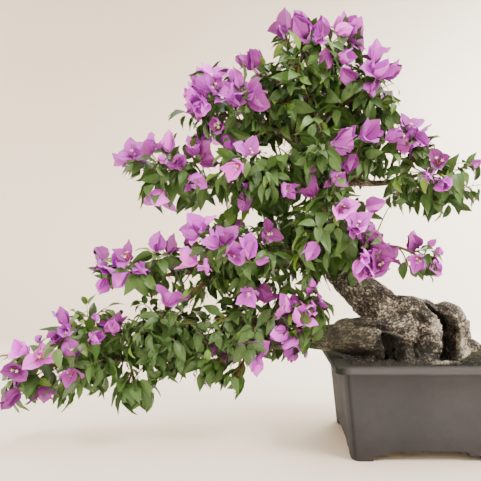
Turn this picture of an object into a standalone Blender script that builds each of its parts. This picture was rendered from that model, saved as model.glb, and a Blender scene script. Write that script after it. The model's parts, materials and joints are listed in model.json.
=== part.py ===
"""A bougainvillea trained as a bonsai, rooted in an unglazed clay pot.

Metres, +Z up. The pot's feet stand on Z = 0 and the front of the plant faces -Y.
The crown leans out over the pot's left side, towards -X. Places are given from the
middle of the pot, and at the end the whole plant is moved so that the middle of its
bounding box stands over the origin.
"""

import math
import random
from collections import namedtuple

import bmesh
import bpy
from mathutils import Quaternion, Vector
from mathutils.bvhtree import BVHTree

GAP = 0.0003
UP = Vector((0, 0, 1))

# Pot, with an outward lip and one cut-out between the feet on each side
POT_WIDTH = 0.315
POT_DEPTH = 0.310
POT_HEIGHT = 0.160
LIP_WIDTH = 0.028
LIP_HEIGHT = 0.011
LIP_OVERHANG = 0.014
LIP_ROUNDING = 0.002
BODY_TAPER = 0.016
INNER_TAPER = 0.013
CORNER_RADIUS = 0.016
CORNER_STEPS = 3
FLOOR_TOP = 0.032
FOOT_WIDTH = 0.035
FOOT_FLARE = 0.008
STEP_HEIGHT = 0.0085
STEP_END = 0.059
CUT_OUT_START = 0.071
CUT_OUT_HEIGHT = 0.0165
CURVE_STEPS = 3

# Soil
SOIL_DROP = 0.005
SOIL_TOP = POT_HEIGHT - SOIL_DROP

# Trunk and roots: the centre line's stations, with the radius at each
TRUNK_STATIONS = (
    ((0.055, 0.000, 0.110), 0.074),
    ((0.036, 0.000, 0.165), 0.070),
    ((0.006, 0.000, 0.200), 0.060),
    ((-0.036, 0.000, 0.236), 0.044),
    ((-0.088, 0.000, 0.281), 0.035),
    ((-0.133, 0.000, 0.332), 0.033),
    ((-0.150, 0.001, 0.390), 0.028),
    ((-0.155, 0.002, 0.460), 0.0225),
    ((-0.163, 0.003, 0.535), 0.0175),
    ((-0.180, 0.001, 0.615), 0.012),
    ((-0.193, 0.000, 0.700), 0.007),
)
TRUNK_SIDES = 12
TRUNK_RINGS = 15
STUB_STATIONS = (
    ((-0.010, -0.008, 0.205), 0.050),
    ((-0.070, -0.018, 0.201), 0.041),
    ((-0.118, -0.023, 0.197), 0.035),
    ((-0.150, -0.026, 0.197), 0.0265),
    ((-0.195, -0.028, 0.197), 0.0225),
)
STUB_SIDES = 10
STUB_RINGS = 7
BURL_CENTRE = Vector((0.079, -0.006, 0.216))
BURL_RADII = Vector((0.040, 0.046, 0.046))
RIDGE_CENTRE = Vector((0.030, 0.010, 0.222))
RIDGE_RADII = Vector((0.052, 0.048, 0.047))
ROOT_FOOT = Vector((0.012, 0.000, SOIL_TOP))
ROOT_START = 0.15
ROOT_MIDDLE = 0.60
ROOT_SIDES = 7
ROOT_RINGS = 4

# Each root: its heading in degrees, how far it reaches, how high it leaves the trunk,
# how high its end lies, and its radius where it starts and ends
Root = namedtuple("Root", "heading reach rise end_rise radius end_radius")
ROOTS = (
    Root(-26, 0.120, 0.050, 0.012, 0.032, 0.012),
    Root(18, 0.104, 0.040, -0.002, 0.030, 0.010),
    Root(74, 0.088, 0.036, -0.003, 0.027, 0.010),
    Root(122, 0.096, 0.034, -0.004, 0.026, 0.009),
    Root(168, 0.122, 0.036, -0.004, 0.027, 0.009),
    Root(202, 0.128, 0.040, -0.003, 0.030, 0.010),
    Root(243, 0.090, 0.036, -0.004, 0.027, 0.010),
    Root(287, 0.086, 0.034, -0.004, 0.026, 0.009),
)

# Each bough: the limb it grows from, how far along that limb, the points it passes on
# the way to its tip, and its radius where it starts and ends
Bough = namedtuple("Bough", "name parent along way radius tip_radius")
BOUGHS = (
    Bough("bough_low_left", "stub", 1.0,
          ((-0.320, 0.006, 0.182), (-0.490, 0.008, 0.158), (-0.655, -0.008, 0.144)), 0.0180, 0.0055),
    Bough("bough_mid_left", "trunk", 0.53,
          ((-0.215, 0.000, 0.338), (-0.330, 0.006, 0.330), (-0.460, -0.006, 0.318)), 0.0120, 0.0050),
    Bough("leader_left", "trunk", 0.68,
          ((-0.203, -0.006, 0.505), (-0.219, -0.006, 0.565), (-0.232, -0.002, 0.612)), 0.0120, 0.0060),
    Bough("bough_upper_left", "leader_left", 0.32,
          ((-0.250, 0.000, 0.500), (-0.320, 0.006, 0.490), (-0.410, -0.008, 0.496)), 0.0080, 0.0045),
    Bough("bough_high_left", "leader_left", 0.74,
          ((-0.262, -0.012, 0.592), (-0.310, -0.018, 0.604)), 0.0070, 0.0045),
    Bough("bough_top_right", "trunk", 0.885,
          ((-0.152, -0.006, 0.628), (-0.122, -0.008, 0.648)), 0.0070, 0.0045),
    Bough("bough_right", "trunk", 0.74,
          ((-0.108, 0.006, 0.500), (-0.048, 0.004, 0.496), (0.004, -0.008, 0.504)), 0.0085, 0.0045),
    Bough("bough_low_right", "trunk", 0.545,
          ((-0.094, -0.036, 0.376), (-0.048, -0.056, 0.366)), 0.0070, 0.0040),
    Bough("bough_back_low", "trunk", 0.56,
          ((-0.178, 0.046, 0.378), (-0.205, 0.082, 0.388)), 0.0090, 0.0050),
    Bough("bough_back_right", "trunk", 0.655,
          ((-0.138, 0.044, 0.462), (-0.124, 0.078, 0.476)), 0.0085, 0.0045),
    Bough("bough_back_left", "leader_left", 0.50,
          ((-0.236, 0.034, 0.546), (-0.258, 0.066, 0.544)), 0.0065, 0.0045),
    Bough("bough_back_top", "trunk", 0.90,
          ((-0.180, 0.034, 0.650), (-0.172, 0.060, 0.660)), 0.0065, 0.0045),
)
BOUGH_SIDES = 7
BOUGH_RING_STEP = 0.055
COLLAR_LENGTH = 0.006
COLLAR_FLARE = 1.35
LEAST_SLANT = 0.55

# Each mass of foliage: the limb that carries it, how far along, the middle and the
# radii of the space it fills, and its blooms, each as the place across and up on the
# front of that space, from -1 to 1
Mass = namedtuple("Mass", "name parent along centre radii blooms")
MASSES = (
    Mass("foliage_low_inner", "bough_low_left", 0.30, (-0.300, -0.035, 0.219), (0.108, 0.115, 0.070),
         ((0.3, 0.9), (0.9, -0.3), (0.1, -0.8))),
    Mass("foliage_low_middle", "bough_low_left", 0.62, (-0.462, -0.040, 0.176), (0.102, 0.118, 0.100),
         ((0.1, 0.9), (-0.6, 0.7))),
    Mass("foliage_low_outer", "bough_low_left", 0.88, (-0.606, -0.030, 0.167), (0.074, 0.104, 0.099),
         ((0.6, 0.7), (0.0, 0.9), (-0.7, 0.5), (0.5, -0.2))),
    Mass("foliage_low_tip", "bough_low_left", 1.0, (-0.720, -0.020, 0.139), (0.058, 0.080, 0.080),
         ((-0.1, 0.5), (0.0, -0.5), (0.7, -0.5))),
    Mass("foliage_mid_inner", "bough_mid_left", 0.52, (-0.326, -0.040, 0.351), (0.114, 0.112, 0.087),
         ((0.6, 0.7), (-0.7, 0.5), (-0.2, 0.2), (-0.7, -0.2), (0.3, -0.2))),
    Mass("foliage_mid_outer", "bough_mid_left", 1.0, (-0.520, -0.024, 0.326), (0.094, 0.097, 0.065),
         ((0.5, 0.8), (-0.1, 0.2), (-0.5, 0.1), (-0.8, -0.5))),
    Mass("foliage_upper_inner", "bough_upper_left", 0.42, (-0.288, -0.034, 0.503), (0.110, 0.100, 0.060),
         ((-0.3, 0.3), (0.4, -0.5))),
    Mass("foliage_upper_outer", "bough_upper_left", 1.0, (-0.464, -0.024, 0.504), (0.088, 0.090, 0.073),
         ((-0.7, 0.4), (0.2, 0.3), (0.0, -0.8), (0.8, 0.0))),
    Mass("foliage_high_left", "bough_high_left", 1.0, (-0.358, -0.022, 0.629), (0.096, 0.092, 0.073),
         ((-0.6, -0.1), (0.1, 0.3), (0.7, 0.0), (0.0, -0.9))),
    Mass("foliage_top_left", "leader_left", 1.0, (-0.252, 0.000, 0.658), (0.099, 0.105, 0.092),
         ((-0.7, 0.6),)),
    Mass("foliage_apex", "trunk", 1.0, (-0.180, 0.000, 0.746), (0.105, 0.096, 0.076),
         ((-0.7, 0.5), (-0.2, 0.0), (0.2, 0.1), (0.6, 0.4))),
    Mass("foliage_top_right", "bough_top_right", 1.0, (-0.096, 0.000, 0.661), (0.082, 0.106, 0.100),
         ((0.4, 0.7), (0.6, 0.3), (-0.2, 0.0))),
    Mass("foliage_right_inner", "bough_right", 0.36, (-0.092, -0.030, 0.540), (0.072, 0.080, 0.064),
         ((-0.4, -0.1), (0.6, -0.1))),
    Mass("foliage_right_outer", "bough_right", 1.0, (0.053, -0.012, 0.513), (0.101, 0.094, 0.092),
         ((-0.5, -0.4), (-0.2, -0.1), (0.5, -0.2))),
    Mass("foliage_front", "trunk", 0.60, (-0.144, -0.092, 0.388), (0.098, 0.086, 0.092),
         ((-0.6, 0.8), (0.0, 0.4), (0.4, -0.2), (-0.6, -0.2), (0.6, -0.7))),
    Mass("foliage_front_upper", "trunk", 0.78, (-0.176, -0.075, 0.524), (0.070, 0.062, 0.069),
         ((-0.2, -0.5), (0.4, -0.6))),
    Mass("foliage_low_right", "bough_low_right", 1.0, (-0.008, -0.070, 0.345), (0.056, 0.062, 0.050),
         ((-0.1, 0.5), (0.5, -0.4))),
    Mass("foliage_back_low", "bough_back_low", 1.0, (-0.234, 0.138, 0.400), (0.126, 0.106, 0.080),
         ()),
    Mass("foliage_back_right", "bough_back_right", 1.0, (-0.110, 0.134, 0.501), (0.107, 0.100, 0.082),
         ()),
    Mass("foliage_back_left", "bough_back_left", 1.0, (-0.294, 0.126, 0.541), (0.113, 0.098, 0.078),
         ()),
    Mass("foliage_back_top", "bough_back_top", 1.0, (-0.162, 0.116, 0.683), (0.110, 0.094, 0.085),
         ()),
)

# Each mass's stem, from its limb to just past the middle of its space
STEM_RADIUS = 0.0050
STEM_TIP_RADIUS = 0.0024
STEM_RINGS = 3
STEM_BEND = 0.40
STEM_REACH = 0.40

# Twigs, from the stem to ends spread evenly over the space. Shares are of the stem's
# length for where they start, and of the leaf's length for the room kept at their ends.
TWIG_SIDES = 3
TWIG_RADIUS = 0.0032
TWIG_TIP_RADIUS = 0.0026
TWIG_START = 0.35
TWIG_LAST_START = 0.97
TWIG_TRIES = 4
TWIGS_PER_AREA = 60
THOMSEN_POWER = 1.6
LEAST_SPREAD = 0.40
TIP_ROOM = 0.38

# Leaves, larger than life, so that each stands for a small spray. Widths, the widest
# place and the curl are shares of the length. A leaf heads ahead, out and down.
LEAF_LENGTH = 0.080
LEAF_LENGTH_SPREAD = 0.010
LEAF_WIDTH = 0.60
LEAF_WIDEST = 0.40
LEAF_THICKNESS = 0.0030
LEAF_CURL = 0.10
LEAF_ROLL = 0.70
LEAF_AHEAD = 0.55
LEAF_OUT = 0.85
LEAF_DROOP = 0.45
TIP_LEAF_DROOP = 0.27
LEAF_SPACING = 0.018
FIRST_LEAF = 0.6
UPRIGHT = 0.2
BLADE_SIZES = (1.0, 0.8, 0.6)
BLADE_CLEARANCE = 0.4

# Blooms of three bracts. On the far side of the crown they are dealt out by chance.
BRACT_LENGTH = 0.060
BRACT_WIDTH = 0.85
BRACTS = 3
BRACT_STEP = 0.0045
BRACT_AHEAD = 0.60
BLOOM_ROOM = 0.85
FAR_SIDE = 0.1
FAR_BLOOM_CHANCE = 0.34

ROOT_SUNK = 0.0008
SPACE_REACH = 1.10
SPACE_MARGIN = 0.04
LIMB_MARGIN = 0.0025
PARALLEL = 1e-12
SEED = 100
GOLDEN_ANGLE = math.pi * (3 - math.sqrt(5))
GOLDEN_STEP = (math.sqrt(5) - 1) / 2

Material = namedtuple("Material", "name colour roughness")
CLAY = Material("unglazed clay", (0.145, 0.115, 0.100), 0.75)
SOIL = Material("dark soil", (0.030, 0.024, 0.018), 0.95)
BARK = Material("grey bark", (0.190, 0.150, 0.115), 0.90)
TWIG = Material("brown twig", (0.110, 0.080, 0.045), 0.80)
LEAF = Material("green leaf", (0.075, 0.115, 0.028), 0.55)
BRACT = Material("pink bract", (0.520, 0.170, 0.430), 0.60)


def material(finish):
    """The Principled material of one finish, made once."""
    made = bpy.data.materials.get(finish.name)
    if made is None:
        made = bpy.data.materials.new(finish.name)
        made.use_nodes = True
        shader = made.node_tree.nodes["Principled BSDF"]
        shader.inputs["Base Color"].default_value = (*finish.colour, 1)
        shader.inputs["Roughness"].default_value = finish.roughness
        shader.inputs["Metallic"].default_value = 0
        made.diffuse_color = (*finish.colour, 1)
    return made


def new_object(name, shape, finish):
    """An object of a closed mesh, its faces turned outwards."""
    bmesh.ops.recalc_face_normals(shape, faces=shape.faces)
    mesh = bpy.data.meshes.new(name)
    shape.to_mesh(mesh)
    shape.free()
    mesh.materials.append(material(finish))
    made = bpy.data.objects.new(name, mesh)
    bpy.context.scene.collection.objects.link(made)
    return made


def remove(made):
    bpy.data.objects.remove(made)


def apply_modifiers(made):
    """The object's mesh as its modifiers leave it, with the modifiers gone."""
    evaluated = made.evaluated_get(bpy.context.evaluated_depsgraph_get())
    mesh = bpy.data.meshes.new_from_object(evaluated)
    made.modifiers.clear()
    made.data = mesh


def cut(made, cutter, solver="EXACT"):
    """The object with the cutter's space taken out of it."""
    boolean = made.modifiers.new("cut", "BOOLEAN")
    boolean.operation = "DIFFERENCE"
    boolean.solver = solver
    boolean.object = cutter
    apply_modifiers(made)
    remove(cutter)


def join(made, parts):
    """One closed body of an object and the parts that reach into it."""
    group = bpy.data.collections.new(made.name + "_parts")
    for part in parts:
        bpy.context.scene.collection.objects.unlink(part)
        group.objects.link(part)
    boolean = made.modifiers.new("join", "BOOLEAN")
    boolean.operation = "UNION"
    boolean.operand_type = "COLLECTION"
    boolean.collection = group
    boolean.material_mode = "TRANSFER"
    apply_modifiers(made)
    for part in parts:
        remove(part)
    bpy.data.collections.remove(group)
    keep_outer_body(made)


def connected_faces(shape):
    """The mesh's faces, in groups that hang together."""
    waiting = set(shape.faces)
    groups = []
    while waiting:
        edge_of_group = [waiting.pop()]
        group = []
        while edge_of_group:
            face = edge_of_group.pop()
            group.append(face)
            for edge in face.edges:
                for neighbour in edge.link_faces:
                    if neighbour in waiting:
                        waiting.remove(neighbour)
                        edge_of_group.append(neighbour)
        groups.append(group)
    return groups


def keep_outer_body(made):
    """Drops loose scraps, and fills any hollow that joining has sealed."""
    shape = bmesh.new()
    shape.from_mesh(made.data)
    groups = connected_faces(shape)
    groups.sort(key=len)
    for group in groups[:-1]:
        bmesh.ops.delete(shape, geom=group, context="FACES")
    shape.to_mesh(made.data)
    shape.free()


def bridge(shape, ring, next_ring):
    """A band of faces between two rings of vertices."""
    for i in range(len(ring)):
        j = (i + 1) % len(ring)
        shape.faces.new((ring[i], ring[j], next_ring[j], next_ring[i]))


def loft(shape, rings):
    """A closed body through a row of rings, with flat ends."""
    for ring, next_ring in zip(rings, rings[1:]):
        bridge(shape, ring, next_ring)
    shape.faces.new(rings[0][::-1])
    shape.faces.new(rings[-1])


def rounded_ring(shape, half_width, half_depth, height):
    """A level ring of vertices round a rectangle with rounded corners."""
    ring = []
    for quarter, (side_x, side_y) in enumerate(((1, 1), (-1, 1), (-1, -1), (1, -1))):
        middle_x = side_x * (half_width - CORNER_RADIUS)
        middle_y = side_y * (half_depth - CORNER_RADIUS)
        for step in range(CORNER_STEPS + 1):
            angle = (quarter + step / CORNER_STEPS) * math.pi / 2
            x = middle_x + CORNER_RADIUS * math.cos(angle)
            y = middle_y + CORNER_RADIUS * math.sin(angle)
            ring.append(shape.verts.new((x, y, height)))
    return ring


def pot_ring(shape, inset, height):
    """A ring of the pot, this far in from the lip's outer edge."""
    return rounded_ring(shape, POT_WIDTH / 2 - inset, POT_DEPTH / 2 - inset, height)


def inner_inset(height):
    """How far the pot's inner wall lies in from the lip's edge at this height."""
    depth = (POT_HEIGHT - height) / (POT_HEIGHT - FLOOR_TOP)
    return LIP_WIDTH + INNER_TAPER * depth


def cut_out_profile(half_bottom):
    """The outline of the gap between two feet, as places across and up."""
    ground = half_bottom - FOOT_WIDTH
    step_start = ground - FOOT_FLARE
    step_end = half_bottom - STEP_END
    top_start = half_bottom - CUT_OUT_START
    right = [(ground, -STEP_HEIGHT), (ground, 0), (step_start, STEP_HEIGHT), (step_end, STEP_HEIGHT)]
    for step in range(1, CURVE_STEPS + 1):
        turn = step / CURVE_STEPS * math.pi / 2
        across = top_start + (step_end - top_start) * math.cos(turn)
        up = STEP_HEIGHT + (CUT_OUT_HEIGHT - STEP_HEIGHT) * math.sin(turn)
        right.append((across, up))
    left = [(-across, up) for across, up in reversed(right)]
    return right + left


def cut_out_cutter(half_bottom, along_x):
    """A long prism of the cut-out's outline, running right through under the pot."""
    shape = bmesh.new()
    rings = []
    for far in (-POT_WIDTH, POT_WIDTH):
        ring = []
        for across, up in cut_out_profile(half_bottom):
            place = (far, across, up) if along_x else (across, far, up)
            ring.append(shape.verts.new(place))
        rings.append(ring)
    loft(shape, rings)
    return new_object("foot_gap", shape, CLAY)


def make_pot():
    shape = bmesh.new()
    top = POT_HEIGHT
    under_lip = top - LIP_HEIGHT
    bottom_inset = LIP_OVERHANG + BODY_TAPER
    rings = [
        pot_ring(shape, bottom_inset, 0),
        pot_ring(shape, LIP_OVERHANG, under_lip),
        pot_ring(shape, LIP_ROUNDING / 2, under_lip),
        pot_ring(shape, 0, under_lip + LIP_ROUNDING),
        pot_ring(shape, 0, top - LIP_ROUNDING),
        pot_ring(shape, LIP_ROUNDING, top),
        pot_ring(shape, LIP_WIDTH - LIP_ROUNDING, top),
        pot_ring(shape, inner_inset(top - LIP_ROUNDING), top - LIP_ROUNDING),
        pot_ring(shape, inner_inset(FLOOR_TOP), FLOOR_TOP),
    ]
    loft(shape, rings)
    pot = new_object("pot", shape, CLAY)
    cut(pot, cut_out_cutter(POT_WIDTH / 2 - bottom_inset, False))
    cut(pot, cut_out_cutter(POT_DEPTH / 2 - bottom_inset, True))
    return pot


def make_soil():
    shape = bmesh.new()
    floor = FLOOR_TOP + GAP
    rings = [
        pot_ring(shape, inner_inset(floor) + GAP, floor),
        pot_ring(shape, inner_inset(SOIL_TOP) + GAP, SOIL_TOP),
    ]
    loft(shape, rings)
    return new_object("soil", shape, SOIL)


def spline(values, along):
    """The value at a place from 0 to 1 on a smooth curve through evenly spaced values."""
    last = len(values) - 1
    place = min(max(along, 0), 1) * last
    first = min(int(place), last - 1)
    t = place - first
    b = values[first]
    c = values[first + 1]
    a = values[first - 1] if first > 0 else b * 2 - c
    d = values[first + 2] if first + 2 <= last else c * 2 - b
    square = (a * 2 - b * 5 + c * 4 - d) * t**2
    cube = (b * 3 - a - c * 3 + d) * t**3
    return (b * 2 + (c - a) * t + square + cube) * 0.5


class Limb:
    """A tapering limb: its centre line, its radii, and the flat-ended collars on it."""

    def __init__(self, name, points, radii, heading=None):
        self.name = name
        self.points = [Vector(point) for point in points]
        self.radii = radii
        self.heading = heading
        self.collars = []

    def at(self, along):
        return spline(self.points, along)

    def radius(self, along):
        return max(spline(self.radii, along), min(self.radii))

    def direction(self, along):
        step = 0.01
        low = max(along - step, 0)
        high = min(along + step, 1)
        return (self.at(high) - self.at(low)).normalized()

    def length(self):
        return sum((b - a).length for a, b in zip(self.points, self.points[1:]))

    def capsules(self, rings=24):
        """The limb as short straight stretches, each with its ends and radius."""
        places = [self.at(i / rings) for i in range(rings + 1)]
        stretches = []
        for i in range(rings):
            radius = max(self.radius(i / rings), self.radius((i + 1) / rings))
            stretches.append((places[i], places[i + 1], radius))
        for start, end, radius in self.collars:
            stretches.append((start, end, radius))
        return stretches

    def leave(self, along, towards, radius):
        """Where a limb of this radius starts on this one, and which way it heads."""
        if along >= 1:
            return self.at(1), self.direction(1)
        start = self.at(along)
        heading = (Vector(towards) - start).normalized()
        cosine = abs(heading.dot(self.direction(along)))
        slant = max(math.sqrt(max(1 - cosine**2, 0)), LEAST_SLANT)
        length = self.radius(along) / slant + radius * cosine + COLLAR_LENGTH
        end = start + heading * length
        self.collars.append((start, end, radius))
        return end, heading


def side_of(ahead, side=Vector((0.1, 1.0, 0.2))):
    """The sideways direction nearest to a given one."""
    return (side - ahead * side.dot(ahead)).normalized()


def tube_shape(centres, radii, sides, heading=None):
    """A closed tube of rings round a row of centres."""
    shape = bmesh.new()
    last = len(centres) - 1
    side = None
    rings = []
    for i, (centre, radius) in enumerate(zip(centres, radii)):
        ahead = (centres[min(i + 1, last)] - centres[max(i - 1, 0)]).normalized()
        if i == 0 and heading is not None:
            ahead = heading
        side = side_of(ahead) if side is None else side_of(ahead, side)
        across = ahead.cross(side)
        ring = []
        for k in range(sides):
            angle = 2 * math.pi * k / sides
            outwards = side * math.cos(angle) + across * math.sin(angle)
            ring.append(shape.verts.new(centre + outwards * radius))
        rings.append(ring)
    loft(shape, rings)
    return shape


def make_limb(limb, sides, rings, finish):
    places = [i / rings for i in range(rings + 1)]
    centres = [limb.at(along) for along in places]
    radii = [limb.radius(along) for along in places]
    return new_object(limb.name, tube_shape(centres, radii, sides, limb.heading), finish)


def make_collars(limb, finish):
    """The short flat-ended stubs that other limbs and stems start from."""
    made = []
    for start, end, radius in limb.collars:
        shape = tube_shape((start, end), (radius * COLLAR_FLARE, radius), BOUGH_SIDES)
        made.append(new_object(limb.name + "_collar", shape, finish))
    return made


def lump(name, centre, radii, finish):
    """A rounded swelling."""
    shape = bmesh.new()
    bmesh.ops.create_icosphere(shape, subdivisions=2, radius=1)
    for vert in shape.verts:
        vert.co = centre + vert.co * radii
    return new_object(name, shape, finish)


def root_limb(index, root):
    """A surface root, arching down from the trunk into the soil."""
    angle = math.radians(root.heading)
    outwards = Vector((math.cos(angle), math.sin(angle), 0))
    start = ROOT_FOOT + outwards * root.reach * ROOT_START + UP * root.rise
    middle_rise = (root.rise + root.end_rise) / 2
    middle = ROOT_FOOT + outwards * root.reach * ROOT_MIDDLE + UP * middle_rise
    end = ROOT_FOOT + outwards * root.reach + UP * root.end_rise
    middle_radius = (root.radius + root.end_radius) / 2
    return Limb(f"root_{index}", (start, middle, end), (root.radius, middle_radius, root.end_radius))


def make_trunk(trunk, stub, roots):
    """The trunk from its flat cut at the soil to its tip, with roots, stub and burl."""
    made = make_limb(trunk, TRUNK_SIDES, TRUNK_RINGS, BARK)
    parts = [make_limb(stub, STUB_SIDES, STUB_RINGS, BARK)]
    parts.append(lump("burl", BURL_CENTRE, BURL_RADII, BARK))
    parts.append(lump("ridge", RIDGE_CENTRE, RIDGE_RADII, BARK))
    for root in roots:
        parts.append(make_limb(root, ROOT_SIDES, ROOT_RINGS, BARK))
    parts += make_collars(trunk, BARK)
    join(made, parts)
    shape = bmesh.new()
    bmesh.ops.create_cube(shape, size=POT_WIDTH)
    bmesh.ops.translate(shape, vec=UP * (SOIL_TOP + GAP - POT_WIDTH / 2), verts=shape.verts)
    # The exact solver keeps only scraps of so uneven a body
    cut(made, new_object("below_soil", shape, BARK), "MANIFOLD")
    keep_outer_body(made)
    return made


def make_bough(limb):
    rings = max(round(limb.length() / BOUGH_RING_STEP), 3)
    made = make_limb(limb, BOUGH_SIDES, rings, BARK)
    collars = make_collars(limb, BARK)
    if collars:
        join(made, collars)
    return made


def segment_distance(a, b, c, d):
    """The least distance between two straight stretches, a to b and c to d."""
    u = b - a
    v = d - c
    w = a - c
    uu = u.dot(u)
    vv = v.dot(v)
    uv = u.dot(v)
    uw = u.dot(w)
    vw = v.dot(w)
    lean = uu * vv - uv * uv
    s = min(max((uv * vw - vv * uw) / lean, 0), 1) if lean > PARALLEL else 0
    t = min(max((uv * s + vw) / vv, 0), 1)
    s = min(max((uv * t - uw) / uu, 0), 1)
    return (w + u * s - v * t).length


class Spaces:
    """Who owns which place in the crown, and where the limbs run."""

    def __init__(self, masses, limbs):
        self.places = [(mass.name, Vector(mass.centre), Vector(mass.radii)) for mass in masses]
        self.capsules = []
        for limb in limbs:
            self.capsules += limb.capsules()

    def owns(self, name, point):
        """True where the point lies in the named mass's space and in no other's."""
        own = math.inf
        others = math.inf
        for other, centre, radii in self.places:
            away = point - centre
            score = Vector((away.x / radii.x, away.y / radii.y, away.z / radii.z)).length
            if other == name:
                own = score
            else:
                others = min(others, score)
        return own < SPACE_REACH and own + SPACE_MARGIN < others

    def clear(self, start, end, half_width):
        """True where a blade or twig between two points touches no limb."""
        return all(
            segment_distance(start, end, a, b) > radius + half_width + LIMB_MARGIN
            for a, b, radius in self.capsules
        )


def leaf_frame(direction, roll):
    """The leaf's sideways and upwards directions, its face rolled from the sky's side."""
    across = direction.cross(UP)
    if across.length < UPRIGHT:
        across = Vector((1, 0, 0)).cross(direction)
    across.normalize()
    across.rotate(Quaternion(direction, roll))
    return across, across.cross(direction)


def leaf_corners(root, direction, roll, length, width):
    """The leaf's base, its two sides, its tip and the keel under its middle."""
    across, over = leaf_frame(direction, roll)
    widest = root + direction * length * LEAF_WIDEST
    half = across * (length * width / 2)
    keel = widest - over * LEAF_THICKNESS
    tip = root + direction * length - over * (length * LEAF_CURL)
    return root, widest - half, widest + half, tip, keel


def leaf_shape(corners):
    """A pointed leaf, flat above and keeled along its midrib below."""
    shape = bmesh.new()
    base, left, right, tip, keel = [shape.verts.new(corner) for corner in corners]
    shape.faces.new((base, right, left))
    shape.faces.new((left, right, tip))
    for start, end in ((base, left), (left, tip), (tip, right), (right, base)):
        shape.faces.new((start, end, keel))
    return shape


def surface(shape):
    """The shape's faces, ready to be tested against another's."""
    return BVHTree.FromBMesh(shape)


def ellipsoid_area(radii):
    """The area of an ellipsoid's surface, by Thomsen's formula."""
    a, b, c = (radius**THOMSEN_POWER for radius in radii)
    return 4 * math.pi * ((a * b + a * c + b * c) / 3) ** (1 / THOMSEN_POWER)


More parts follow.
